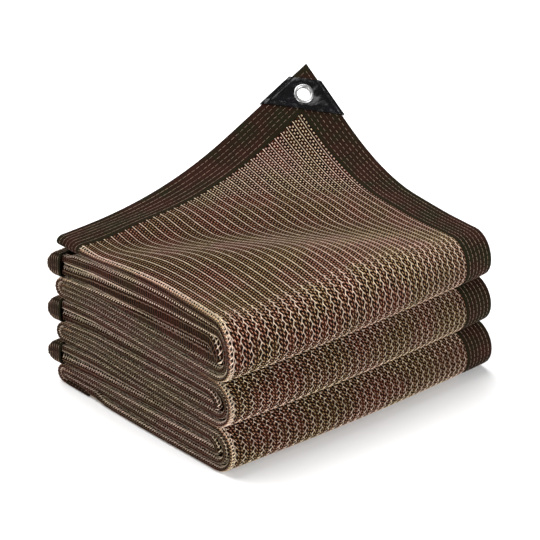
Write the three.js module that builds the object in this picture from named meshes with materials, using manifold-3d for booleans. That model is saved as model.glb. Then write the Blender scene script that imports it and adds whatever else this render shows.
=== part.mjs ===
// A bound shade net, doubled lengthwise and folded back and forth into a rectangular pack.
// The back right corner of the top sheet stands up, with its patch and eyelet.
//
// Millimetres, +Z up. While it is being made the pack has its near bottom corner at the origin:
// X runs along the front folds to the bound edge, Y runs from the front folds to the back.
// The finished group is then moved so that the origin is the bottom centre of its box.
import * as THREE from 'three';
import { mergeVertices } from 'three/addons/utils/BufferGeometryUtils.js';
import Module from 'manifold-3d';

const wasm = await Module();
wasm.setup();

// ---------------------------------------------------------------- driving dimensions

const PACK_WIDTH = 387; // from the doubled edge, at X = 0, to the bound edge
const PACKET_COUNT = 3;
const PACKET_HEIGHT = 57.3;
const STACK_HEIGHT = PACKET_COUNT * PACKET_HEIGHT;
const SHEET = 1.9; // thickness of the knitted sheet
const LEAF_GAP = 1.6; // between the two leaves of the doubled net
const FIT_GAP = 0.3; // between pieces that touch
const BINDING_WIDTH = 38;
const TAPE = 1.2; // thickness of the cross tape on each rear fold
const TAPE_REACH = 10; // how far the tape runs on past the turn
const TAPE_ROUND_END = 9; // depth of its closed end at the doubled side
const TOP_END = 302; // Y of the top sheet's free edge, at the doubled side
const TOP_SKEW = { amount: 10, start: 100, reach: 130 }; // that edge is further back at the bound side
const TAIL_END = 250; // Y of the free edge under the pack

// The lowest layer lies flat as far as REST_END, and at REST_LIFTED it is above the tail.
const REST_END = 215;
const REST_LIFTED = 240;

const HALF = SHEET + LEAF_GAP / 2; // half the thickness of the doubled net
const PANEL_WIDTH = PACK_WIDTH - BINDING_WIDTH - FIT_GAP;

// The round of the doubled edge: how far in it starts, and its one point between there and the
// edge, as distances in from the edge and shares of each face's height.
const DOUBLED_EDGE = { start: 1.6 * HALF, outerIn: 0.9, innerIn: 2.6, outerShare: 0.66, innerShare: 0.55 };

// Heights of a packet's six doubled layers, measured from the packet's top.
const LAYERS = {
  a: { front: -3.4, rear: HALF },
  b: { front: -12, rear: -7.5 },
  c: { front: -18.5, rear: -26.5 },
  d: { front: -33, rear: -35 },
  e: { front: -43.5, rear: -41.5 },
  f: { front: HALF - PACKET_HEIGHT, rear: -48 },
};

// The turns of a packet, in the order in which the net runs through them.
// tip is the Y of the turn's outermost point, lean tilts the turn, steps is its facets.
const TURNS = [
  { name: 'outer front', from: 'a', to: 'f', end: 'front', tip: HALF, lean: 0, steps: 7 },
  { name: 'inner lobe', from: 'f', to: 'e', end: 'rear', tip: 295.6, lean: 0, steps: 4 },
  { name: 'inner front', from: 'e', to: 'b', end: 'front', tip: HALF + 8.5, lean: 0, steps: 5 },
  { name: 'ear', from: 'b', to: 'c', end: 'rear', tip: 312.4, lean: 0, steps: 5 },
  { name: 'core front', from: 'c', to: 'd', end: 'front', tip: 27, lean: 0.8, steps: 4 },
  { name: 'outer lobe', from: 'd', to: 'next a', end: 'rear', tip: 302.2, lean: 0, steps: 5 },
];

// Y of the stations between the turns: close together where the top is cambered.
const CLOSE_STATIONS = [90, 140, 190, 240];
const WIDE_STATIONS = [120, 240];
const TOP_STATIONS = [240, 215, 190, 165, 140, 115, 90, 60];
const STATION_ROOM = 12; // no station is closer than this to a turn

// Places across the pack where the cross tape's faces have their points.
const TAPE_END_SHARES = [0, 0.12, 0.42, 1]; // of its closed end
const TAPE_SHARES = [0.35, 0.68, 1]; // of the pack's width

// The camber of the top packet, and the raised corner.
const CROWN = { doubledSide: 25, boundSide: 4, depth: 34, frontEnd: 95, shortest: 60 };
const RIDGE = { start: 150, run: 100, height: 26, boundHeight: 6, dip: 10, from: 70 };
const BEND = { x: 0.45, y: 0.893, start: 290, straight: 395, rate: 0.0041, inward: 0.09 };
const SLACK = { height: 7, start: -45, run: 50, end: 40, fall: 80 };
const SLACK_EDGES = { sideX: 351, sideRun: 80, endY: 300, endRun: 50 };
const DROOP = { start: 240, end: 317, fall: 7, fullHeight: 1.2 * PACKET_HEIGHT };
const FRONT_BULGE = { depth: 6, reach: 90 };
const REAR_LIFT = { start: 225, end: 290, height: 7, fadeStart: 0, fadeEnd: 250 };
const EDGE_STAGGER = { amount: 1.4, wave: 61, middleFade: 0.2 };

// The corner patch and its eyelet; distances run along both edges from the corner.
const PATCH = { near: 25, far: 73, plate: 1.2, edgeRoom: 1 };
const EYELET = { bore: 7.8, barrel: 8.7, flange: 12, flangeHeight: 1.5 };

const COLOURS = {
  net: { color: '#6f5a41', roughness: 0.85, metalness: 0 },
  binding: { color: '#3d2c20', roughness: 0.8, metalness: 0 },
  tape: { color: '#38281e', roughness: 0.8, metalness: 0 },
  patch: { color: '#141313', roughness: 0.35, metalness: 0 },
  eyelet: { color: '#d6d8da', roughness: 0.25, metalness: 1 },
};

// ---------------------------------------------------------------- small helpers

const smooth = (t) => {
  const c = Math.min(1, Math.max(0, t));
  return c * c * (3 - 2 * c);
};
const mix = (a, b, t) => a + (b - a) * t;

function material(name) {
  return new THREE.MeshStandardMaterial({ name, ...COLOURS[name] });
}

// ---------------------------------------------------------------- the folded route

// Points of one turn, from height z0 to height z1, around a tip that faces the front or the rear.
function turnPoints(turn, z0, z1) {
  const side = turn.end === 'front' ? -1 : 1;
  const centreZ = (z0 + z1) / 2;
  const radius = Math.abs(z0 - z1) / 2;
  const centreY = turn.tip - side * radius;
  const points = [];
  for (let i = 0; i <= turn.steps; i += 1) {
    const angle = (Math.PI * i) / turn.steps;
    const z = centreZ + (z0 - centreZ) * Math.cos(angle);
    const y = centreY + side * radius * Math.sin(angle) + turn.lean * (z - centreZ);
    points.push({ y, z });
  }
  return points;
}

// Points of a run between two ends; its height changes smoothly along it.
function runPoints(start, end, stations) {
  const forward = end.y < start.y;
  const inOrder = [...stations].sort((p, q) => (forward ? q - p : p - q));
  const low = Math.min(start.y, end.y) + STATION_ROOM;
  const high = Math.max(start.y, end.y) - STATION_ROOM;
  const inside = (y) => y > low && y < high;
  return inOrder.filter(inside).map((y) => {
    const t = (y - start.y) / (end.y - start.y);
    return { y, z: mix(start.z, end.z, smooth(t)) };
  });
}

function layerHeight(packet, key, end) {
  const below = key === 'next a' ? packet + 1 : packet;
  const layer = LAYERS[key === 'next a' ? 'a' : key];
  return STACK_HEIGHT - below * PACKET_HEIGHT + layer[end];
}

// The whole route of the doubled net in the YZ plane, from the top's free edge to the tail's.
function foldedRoute() {
  const topZ = STACK_HEIGHT + HALF;
  const seamY = TOP_END - BINDING_WIDTH;
  const route = [
    { y: TOP_END, z: topZ, top: true },
    { y: mix(TOP_END, seamY, 0.5), z: topZ, top: true },
    { y: seamY, z: topZ, top: true, seam: 'top end' },
  ];
  let last = route[2];
  for (let packet = 0; packet < PACKET_COUNT; packet += 1) {
    for (const turn of TURNS) {
      const z0 = layerHeight(packet, turn.from, turn.end);
      const z1 = layerHeight(packet, turn.to, turn.end);
      const bend = turnPoints(turn, z0, z1);
      const isTop = packet === 0 && turn.name === 'outer front';
      const cambered = packet === 0 && 'abc'.includes(turn.from);
      const close = cambered ? CLOSE_STATIONS : WIDE_STATIONS;
      const stations = isTop ? TOP_STATIONS : close;
      const isLowest = packet === PACKET_COUNT - 1 && turn.name === 'inner lobe';
      const run = isLowest
        ? [{ y: REST_END, z: last.z }, { y: REST_LIFTED, z: bend[0].z }]
        : runPoints(last, bend[0], stations).map((p) => ({ ...p, top: isTop }));
      const inset = turn.name === 'ear' ? TAPE_ROUND_END + TAPE : 0;
      route.push(...run, ...bend.map((p) => ({ ...p, inset })));
      last = bend[bend.length - 1];
    }
  }
  route.push({ y: TAIL_END + BINDING_WIDTH, z: last.z, seam: 'tail' });
  route.push({ y: TAIL_END, z: last.z });
  return route;
}

// Adds to each point the direction of the doubled net's outer side, long enough at a bend that
// the sheet keeps its thickness, and the way along the route.
function withNormals(route) {
  let way = 0;
  return route.map((p, i) => {
    const before = route[Math.max(0, i - 1)];
    const after = route[Math.min(route.length - 1, i + 1)];
    const t0 = new THREE.Vector2(p.y - before.y, p.z - before.z).normalize();
    const t1 = new THREE.Vector2(after.y - p.y, after.z - p.z).normalize();
    const t = t0.clone().add(t1).normalize();
    const cosine = i === 0 || i === route.length - 1 ? 1 : Math.max(0.5, t.dot(t0));
    way += Math.hypot(p.y - before.y, p.z - before.z);
    return { ...p, way, normalY: t.y / cosine, normalZ: -t.x / cosine };
  });
}

// ---------------------------------------------------------------- the shape of the pack

function crownHeight(x, y) {
  const across = mix(CROWN.doubledSide, CROWN.boundSide, smooth(x / PACK_WIDTH));
  const bendY = Math.max(CROWN.frontEnd + CROWN.shortest, (BEND.start - BEND.x * x) / BEND.y);
  const edge = across * (1 - smooth((y - CROWN.frontEnd) / (bendY - CROWN.frontEnd)));
  const high = mix(RIDGE.height, RIDGE.boundHeight, smooth((x - RIDGE.start) / (PACK_WIDTH - RIDGE.start)));
  const crestY = Math.max(30, (RIDGE.start - BEND.x * x) / BEND.y);
  const far = 1 - smooth((BEND.x * x + BEND.y * y - RIDGE.start) / RIDGE.run);
  const near = RIDGE.dip * Math.min(1, (crestY - 30) / 60) * (1 - smooth(y / crestY));
  return mix(edge, high * far - near, smooth(x / RIDGE.from));
}

// How far the raised leaf stands above the pack: a bend, then a straight slope to the corner.
function cornerRise(x, y) {
  const past = BEND.x * x + BEND.y * y - BEND.start;
  const span = BEND.straight - BEND.start;
  let rise = 0;
  if (past > 0) rise = past < span ? BEND.rate * past * past : BEND.rate * span * (2 * past - span);
  return rise + slackRise(x, y, past);
}

// The slack of the raised leaf in front of its bend.
function slackRise(x, y, past) {
  const along = smooth((past - SLACK.start) / SLACK.run) * (1 - smooth((past - SLACK.end) / SLACK.fall));
  const side = smooth((SLACK_EDGES.sideX - x) / SLACK_EDGES.sideRun);
  return SLACK.height * along * side * smooth((SLACK_EDGES.endY - y) / SLACK_EDGES.endRun);
}

// The free end of the top sheet stands a little off the fold below it at the doubled side.
function rearLift(x, y) {
  const along = smooth((y - REAR_LIFT.start) / (REAR_LIFT.end - REAR_LIFT.start));
  const fade = smooth((x - REAR_LIFT.fadeStart) / (REAR_LIFT.fadeEnd - REAR_LIFT.fadeStart));
  return REAR_LIFT.height * along * (1 - fade);
}

// Moves a point of the plain, straight pack to its place in the uneven one.
function settle(x, y, z, { top = false, raised = false, way = 0, inset = 0 } = {}) {
  const share = x / PACK_WIDTH;
  const stagger = EDGE_STAGGER.amount * (1 - Math.abs(2 * share - 1) * EDGE_STAGGER.middleFade);
  let px = x + inset * (1 - share) + stagger * Math.sin(way / EDGE_STAGGER.wave);
  let py = y;
  let pz = z;
  const within = (z - (STACK_HEIGHT - CROWN.depth)) / CROWN.depth;
  pz += crownHeight(x, y) * Math.min(1, Math.max(0, within));
  py -= FRONT_BULGE.depth * Math.sin(Math.PI * share) * (1 - smooth(y / FRONT_BULGE.reach));
  if (top) {
    py += TOP_SKEW.amount * share * smooth((y - TOP_SKEW.start) / TOP_SKEW.reach);
    px = x;
    pz += rearLift(x, y);
  } else if (y > DROOP.start) {
    const past = (y - DROOP.start) / (DROOP.end - DROOP.start);
    pz -= DROOP.fall * past * Math.min(1, z / DROOP.fullHeight);
  }
  if (raised) {
    const rise = cornerRise(px, py);
    pz += rise;
    px -= BEND.inward * rise;
  }
  return new THREE.Vector3(px, py, pz);
}

// ---------------------------------------------------------------- swept sheets

// The doubled net's section: each entry holds the outer and the inner face at one place across
// it, going along the outer leaf to the doubled edge at X = 0 and back along the inner leaf.
function doubledSection(width, divisions) {
  const inner = LEAF_GAP / 2;
  const section = [];
  const { start, outerIn, innerIn, outerShare, innerShare } = DOUBLED_EDGE;
  const xs = Array.from({ length: divisions + 1 }, (_, i) => mix(start, width, i / divisions));
  for (const x of [...xs].reverse()) {
    section.push({ outer: [x, HALF], inner: [x, inner], raised: true });
  }
  const round = (side) => ({
    outer: [outerIn, side * outerShare * HALF],
    inner: [innerIn, side * innerShare * inner],
    raised: side > 0,
  });
  section.push(round(1), { outer: [0, 0], inner: [SHEET, 0], raised: false }, round(-1));
  for (const x of xs) {
    section.push({ outer: [x, -HALF], inner: [x, -inner], raised: false });
  }
  return section;
}

// One leaf's strip between two places across the net.
function leafSection(x0, x1, outerLeaf) {
  const inner = LEAF_GAP / 2;
  const face = (x) => (outerLeaf
    ? { outer: [x, HALF], inner: [x, inner], raised: true }
    : { outer: [x, -inner], inner: [x, -HALF], raised: false });
  return [face(x1), face(x0)];
}

// Joins two equal grids of points, an outer and an inner one, into one closed solid. The first
// rows need no wall between them where each of them is already closed on itself.
function shellGeometry(outer, inner, firstRowsClosed = false) {
  const rows = outer.length;
  const columns = outer[0].length;
  const positions = [];
  const quad = (a, b, c, d) => {
    for (const p of [a, b, c, a, c, d]) positions.push(p.x, p.y, p.z);
  };
  for (let i = 0; i + 1 < rows; i += 1) {
    for (let j = 0; j + 1 < columns; j += 1) {
      quad(outer[i][j], outer[i + 1][j], outer[i + 1][j + 1], outer[i][j + 1]);
      quad(inner[i][j], inner[i][j + 1], inner[i + 1][j + 1], inner[i + 1][j]);
    }
    const k = columns - 1;
    quad(inner[i][0], inner[i + 1][0], outer[i + 1][0], outer[i][0]);
    quad(outer[i][k], outer[i + 1][k], inner[i + 1][k], inner[i][k]);
  }
  const r = rows - 1;
  for (let j = 0; j + 1 < columns; j += 1) {
    if (!firstRowsClosed) quad(inner[0][j], outer[0][j], outer[0][j + 1], inner[0][j + 1]);
    quad(outer[r][j], inner[r][j], inner[r][j + 1], outer[r][j + 1]);
  }
  const geometry = new THREE.BufferGeometry();
  geometry.setAttribute('position', new THREE.Float32BufferAttribute(positions, 3));
  return withoutSlivers(mergeVertices(geometry, 1e-3));
}

// Six times the volume inside a list of triangles; negative where they face inwards.
function signedVolume(position, triangles) {
  const point = (i) => new THREE.Vector3().fromBufferAttribute(position, i);
  return triangles.reduce((sum, [a, b, c]) => sum + point(a).dot(point(b).cross(point(c))), 0);
}

// Drops the triangles that closed up to a line when the vertices were merged, and turns the
// faces outwards.
function withoutSlivers(geometry) {
  const index = geometry.getIndex().array;
  const kept = [];
  for (let i = 0; i < index.length; i += 3) {
    const [a, b, c] = index.slice(i, i + 3);
    if (a !== b && b !== c && c !== a) kept.push([a, b, c]);
  }
  const inwards = signedVolume(geometry.getAttribute('position'), kept) < 0;
  geometry.setIndex(kept.flatMap(([a, b, c]) => (inwards ? [a, c, b] : [a, b, c])));
  geometry.computeVertexNormals();
  return geometry;
}

// A sheet solid that follows the route with the given section.
function sweptSheet(section, route) {
  const place = (station, [x, n], raised) => settle(
    x,
    station.y + n * station.normalY,
    station.z + n * station.normalZ,
    { ...station, raised: Boolean(station.top) && raised },
  );
  const outer = route.map((s) => section.map((p) => place(s, p.outer, p.raised)));
  const inner = route.map((s) => section.map((p) => place(s, p.inner, p.raised)));
  return shellGeometry(outer, inner);
}

// ---------------------------------------------------------------- booleans

function toManifold(geometry) {
  const bare = new THREE.BufferGeometry();
  bare.setAttribute('position', geometry.getAttribute('position'));
  if (geometry.getIndex()) bare.setIndex(geometry.getIndex());
  const merged = mergeVertices(bare, 1e-3);
  return new wasm.Manifold(new wasm.Mesh({
    numProp: 3,
    vertProperties: new Float32Array(merged.getAttribute('position').array),
    triVerts: new Uint32Array(merged.getIndex().array),
  }));
}

function fromManifold(manifold) {
  const mesh = manifold.getMesh();
  const geometry = new THREE.BufferGeometry();
  geometry.setAttribute('position', new THREE.BufferAttribute(new Float32Array(mesh.vertProperties), 3));
  geometry.setIndex(new THREE.BufferAttribute(new Uint32Array(mesh.triVerts), 1));
  geometry.computeVertexNormals();
  return geometry;
}

const cut = (from, ...tools) => fromManifold(
  tools.reduce((body, tool) => body.subtract(toManifold(tool)), toManifold(from)),
);

// ---------------------------------------------------------------- the corner's own plane

// The raised corner is straight, so it has a plane: its origin is the tip of the corner in the
// middle of the sheet, its X and Y point along the back edge and the side edge, into the sheet.
function cornerFrame() {
  const middle = STACK_HEIGHT + HALF + (HALF + LEAF_GAP / 2) / 2;
  const at = (x, y) => settle(x, y, middle, { top: true, raised: true });
  const tip = at(PACK_WIDTH, TOP_END);
  const alongBack = at(PACK_WIDTH - 10, TOP_END).sub(tip).normalize();
  const alongSide = at(PACK_WIDTH, TOP_END - 10).sub(tip).normalize();
  const normal = new THREE.Vector3().crossVectors(alongBack, alongSide).normalize();
  const middleLine = alongBack.clone().add(alongSide).normalize();
  const across = new THREE.Vector3().crossVectors(normal, middleLine).normalize();
  return { tip, alongBack, alongSide, normal, middleLine, across };
}

const CORNER = cornerFrame();
const CORNER_ANGLE = CORNER.alongBack.angleTo(CORNER.alongSide);
const PATCH_NEAR = PATCH.near * Math.cos(CORNER_ANGLE / 2);
const PATCH_FAR = PATCH.far * Math.cos(CORNER_ANGLE / 2);
const EYELET_DISTANCE = (PATCH_NEAR + PATCH_FAR) / 2;

// A matrix whose X is the corner's middle line, whose Y runs across it and whose Z is its normal.
function cornerMatrix() {
  const basis = new THREE.Matrix4().makeBasis(CORNER.middleLine, CORNER.across, CORNER.normal);
  return basis.setPosition(CORNER.tip);
}

// A wedge of the corner between two distances from the tip, grown outwards by some millimetres.
function cornerWedge(near, far, grow, thickness) {
  const half = CORNER_ANGLE / 2;
  const spread = grow / Math.sin(half);
  const widthAt = (d) => (d + spread) * Math.tan(half);
  const shape = new THREE.Shape();
  shape.moveTo(near, -widthAt(near));
  shape.lineTo(far, -widthAt(far));
  shape.lineTo(far, widthAt(far));
  shape.lineTo(near, widthAt(near));
  shape.closePath();
  const geometry = new THREE.ExtrudeGeometry(shape, { depth: thickness, bevelEnabled: false });
  return geometry.translate(0, 0, -thickness / 2);
}

function eyeletHole(radius) {
  const hole = new THREE.CylinderGeometry(radius, radius, 30, 32);
  return hole.rotateX(Math.PI / 2).translate(EYELET_DISTANCE, 0, 0);
}

// ---------------------------------------------------------------- pieces

function bindingRoute(route) {
  const first = route.findIndex((p) => p.seam === 'top end');
  const last = route.findIndex((p) => p.seam === 'tail');
  const between = route.slice(first, last + 1).map((p) => ({ ...p }));
  between[0].y -= FIT_GAP;
  between[between.length - 1].y += FIT_GAP;
  return between;
}

function netPanel(route) {
  return sweptSheet(doubledSection(PANEL_WIDTH, 4), bindingRoute(route));
}

function sideBinding(route, outerLeaf) {
  const section = leafSection(PANEL_WIDTH + FIT_GAP, PACK_WIDTH, outerLeaf);
  return sweptSheet(section, bindingRoute(route));
}

function topEndBinding(route) {
  const last = route.findIndex((p) => p.seam === 'top end');
  const strip = sweptSheet(doubledSection(PACK_WIDTH, 5), route.slice(0, last + 1));
  const hole = eyeletHole(EYELET.barrel + FIT_GAP).applyMatrix4(cornerMatrix());
  return cut(strip, hole);
}

function tailBinding(route) {
  const first = route.findIndex((p) => p.seam === 'tail');
  return sweptSheet(doubledSection(PACK_WIDTH, 3), route.slice(first));
}

// The tape that is sewn across the net where a rear fold turns, closed round at the doubled edge.
function foldTape(packet) {
  const ear = TURNS.find((turn) => turn.name === 'ear');
  const topZ = layerHeight(packet, ear.from, ear.end);
  const lowZ = layerHeight(packet, ear.to, ear.end);
  const centreZ = (topZ + lowZ) / 2;
  const radius = (topZ - lowZ) / 2;
  const centreY = ear.tip - radius;
  const facet = Math.PI / ear.steps;
  const angles = Array.from({ length: ear.steps + 1 }, (_, i) => i * facet);
  const face = (clear, start) => {
    const round = radius + clear / Math.cos(facet / 2);
    const section = [
      [centreY - TAPE_REACH, radius + clear],
      ...angles.map((angle) => [centreY + round * Math.sin(angle), round * Math.cos(angle)]),
      [centreY - TAPE_REACH, -radius - clear],
    ];
    const nearEnd = TAPE_END_SHARES.map((t) => mix(start, TAPE_ROUND_END + start, t));
    const across = TAPE_SHARES.map((t) => t * PACK_WIDTH);
    return [...nearEnd, ...across].map((x) => {
      const t = Math.min(1, (x - start) / TAPE_ROUND_END);
      const height = Math.sqrt(1 - (1 - t) ** 2);
      return section.map(([y, z]) => settle(x, y, centreZ + z * height, {}));
    });
  };
  return shellGeometry(face(HALF + 3 * FIT_GAP + TAPE, 0), face(HALF + 3 * FIT_GAP, TAPE), true);
}

function cornerPatch() {
  const slot = SHEET + 2 * FIT_GAP;
  const body = cornerWedge(PATCH_NEAR, PATCH_FAR, PATCH.edgeRoom + PATCH.plate, slot + 2 * PATCH.plate);
  const room = cornerWedge(PATCH_NEAR - 1, PATCH_FAR + 1, PATCH.edgeRoom, slot);
  return cut(body, room, eyeletHole(EYELET.barrel + FIT_GAP)).applyMatrix4(cornerMatrix());
}

// One turned ring: a barrel through the patch with a rounded flange on each side of it.
function eyelet() {
  const plane = SHEET / 2 + FIT_GAP + PATCH.plate + FIT_GAP;
  const high = plane + EYELET.flangeHeight;
  const profile = [
    [EYELET.barrel, -plane],
    [EYELET.flange, -plane],
    [EYELET.flange - 0.5, -high + 0.5],
    [(EYELET.flange + EYELET.bore) / 2, -high],
    [EYELET.bore + 0.5, -high + 0.4],
    [EYELET.bore, -plane],
    [EYELET.bore, plane],
    [EYELET.bore + 0.5, high - 0.4],
    [(EYELET.flange + EYELET.bore) / 2, high],
    [EYELET.flange - 0.5, high - 0.5],
    [EYELET.flange, plane],
    [EYELET.barrel, plane],
    [EYELET.barrel, -plane],
  ].reverse().map(([r, z]) => new THREE.Vector2(r, z));
  const ring = new THREE.LatheGeometry(profile, 28).rotateX(Math.PI / 2);
  return ring.translate(EYELET_DISTANCE, 0, 0).applyMatrix4(cornerMatrix());
}

// ---------------------------------------------------------------- the assembly

const pack = new THREE.Group();

function addPiece(name, geometry, finish) {
  const mesh = new THREE.Mesh(geometry, material(finish));
  mesh.name = name;
  pack.add(mesh);
}

const route = withNormals(foldedRoute());
addPiece('net_panel', netPanel(route), 'net');
addPiece('side_binding_outer', sideBinding(route, true), 'binding');
addPiece('side_binding_inner', sideBinding(route, false), 'binding');
addPiece('end_binding_top', topEndBinding(route), 'binding');
addPiece('end_binding_tail', tailBinding(route), 'binding');
for (let packet = 0; packet < PACKET_COUNT; packet += 1) {
  addPiece(`fold_tape_${packet + 1}`, foldTape(packet), 'tape');
}
addPiece('corner_patch', cornerPatch(), 'patch');
addPiece('eyelet', eyelet(), 'eyelet');

const box = new THREE.Box3().setFromObject(pack, true);
const centre = box.getCenter(new THREE.Vector3());
pack.position.set(-centre.x, -centre.y, -box.min.z);

const shadeNet = new THREE.Group();
shadeNet.add(pack);

export default shadeNet;
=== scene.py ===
"""A bound shade net, doubled lengthwise and folded back and forth into a pack.

The net is worked flat, as a knitter and a sewer would: ground, wales, small loops, bindings and
stitch rows are laid out on a flat plan in millimetres, and FoldPlan then carries every vertex to
its place in the folded pack. The cross tapes and the raised corner have flat plans of their own.
"""

import logging
import math
from dataclasses import dataclass, field
from enum import Enum
from typing import Callable, Iterable, Sequence

import bmesh
import bpy
import numpy as np
from mathutils import Matrix, Vector


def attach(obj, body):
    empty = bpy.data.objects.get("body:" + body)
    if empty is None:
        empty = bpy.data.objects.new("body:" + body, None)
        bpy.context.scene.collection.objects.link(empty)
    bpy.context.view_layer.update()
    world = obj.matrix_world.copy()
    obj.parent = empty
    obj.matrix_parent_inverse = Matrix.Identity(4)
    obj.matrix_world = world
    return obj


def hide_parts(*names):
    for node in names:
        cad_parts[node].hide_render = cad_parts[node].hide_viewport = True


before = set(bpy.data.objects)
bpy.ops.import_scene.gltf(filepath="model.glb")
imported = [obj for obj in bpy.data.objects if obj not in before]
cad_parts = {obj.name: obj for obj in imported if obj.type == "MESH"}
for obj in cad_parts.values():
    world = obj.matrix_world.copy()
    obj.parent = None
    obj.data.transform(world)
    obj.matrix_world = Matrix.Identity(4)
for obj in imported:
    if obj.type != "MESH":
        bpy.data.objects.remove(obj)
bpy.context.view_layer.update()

LOG = logging.getLogger("shade_net")
MM = 0.001
BODY = "root"

Colour = tuple[float, float, float]
Path = Sequence[tuple[float, float, float]]
Placer = Callable[[np.ndarray], np.ndarray]
Mesh = bmesh.types.BMesh
Piece = bpy.types.Object
Material = bpy.types.Material
Socket = bpy.types.NodeSocket


class Leaf(Enum):
    """The two leaves of the doubled net; the value is the side of the middle they lie on."""

    OUTER = 1
    INNER = -1


class End(Enum):
    """The way a turn of the fold faces."""

    FRONT = -1
    REAR = 1


# ------------------------------------------------------------------ sizes and the fold


@dataclass(frozen=True)
class Turn:
    """One turn of the doubled net inside a packet.

    Attributes:
        name: what the turn is called.
        start: the layer the net comes from, a letter from a to f.
        end: the layer the net goes on to, or "next a" for the packet below.
        faces: the way the turn faces.
        tip: depth of its outermost point, in millimetres from the front.
        lean: how far the turn is tilted back for each millimetre of height.
    """

    name: str
    start: str
    end: str
    faces: End
    tip: float
    lean: float = 0.0


@dataclass(frozen=True)
class PackSizes:
    """The pack's driving sizes, in millimetres."""

    width: float = 387.0
    packets: int = 3
    packet_height: float = 57.3
    sheet: float = 1.9
    leaf_gap: float = 1.6
    fit_gap: float = 0.3
    binding: float = 38.0
    top_end: float = 302.0
    tail_end: float = 250.0
    rest_end: float = 215.0
    rest_lifted: float = 240.0
    origin_x: float = 193.5
    origin_y: float = 155.717

    @property
    def stack(self) -> float:
        """Height of the packets on each other."""
        return self.packets * self.packet_height

    @property
    def half(self) -> float:
        """Half the thickness of the doubled net."""
        return self.sheet + self.leaf_gap / 2

    @property
    def leaf_middle(self) -> float:
        """Distance of each leaf's own middle from the middle of the doubled net."""
        return (self.half + self.leaf_gap / 2) / 2

    @property
    def panel(self) -> float:
        """Width of one leaf of the knitted net, without its binding."""
        return self.width - self.binding - self.fit_gap


SIZES = PackSizes()

LAYERS: dict[str, tuple[float, float]] = {
    "a": (-3.4, SIZES.half),
    "b": (-12.0, -7.5),
    "c": (-18.5, -26.5),
    "d": (-33.0, -35.0),
    "e": (-43.5, -41.5),
    "f": (SIZES.half - SIZES.packet_height, -48.0),
}

# Layers of a packet that face each other, and whether with their outer leaves.
FACING_LAYERS: tuple[tuple[str, str, bool], ...] = (
    ("a", "b", False),
    ("b", "c", True),
    ("c", "d", False),
    ("d", "e", True),
    ("e", "f", False),
)

# The two layers that meet in an ear, which the cross tape holds together.
EAR_LAYERS: tuple[str, str] = ("b", "c")

TURNS: tuple[Turn, ...] = (
    Turn("outer front", "a", "f", End.FRONT, SIZES.half),
    Turn("inner lobe", "f", "e", End.REAR, 295.6),
    Turn("inner front", "e", "b", End.FRONT, SIZES.half + 8.5),
    Turn("ear", "b", "c", End.REAR, 312.4),
    Turn("core front", "c", "d", End.FRONT, 27.0, 0.8),
    Turn("outer lobe", "d", "next a", End.REAR, 302.2),
)


def smooth(t: np.ndarray | float) -> np.ndarray:
    """Goes from 0 to 1 with a level start and end."""
    c = np.clip(t, 0.0, 1.0)
    return c * c * (3.0 - 2.0 * c)


def mix(a: np.ndarray | float, b: np.ndarray | float, t: np.ndarray | float) -> np.ndarray:
    """Goes from a to b as t goes from 0 to 1."""
    return a + (b - a) * t


@dataclass
class RoutePoint:
    """A point of the doubled net's middle line: depth, height, share of top sheet and inset."""

    y: float
    z: float
    top: float = 0.0
    inset: float = 0.0


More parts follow.
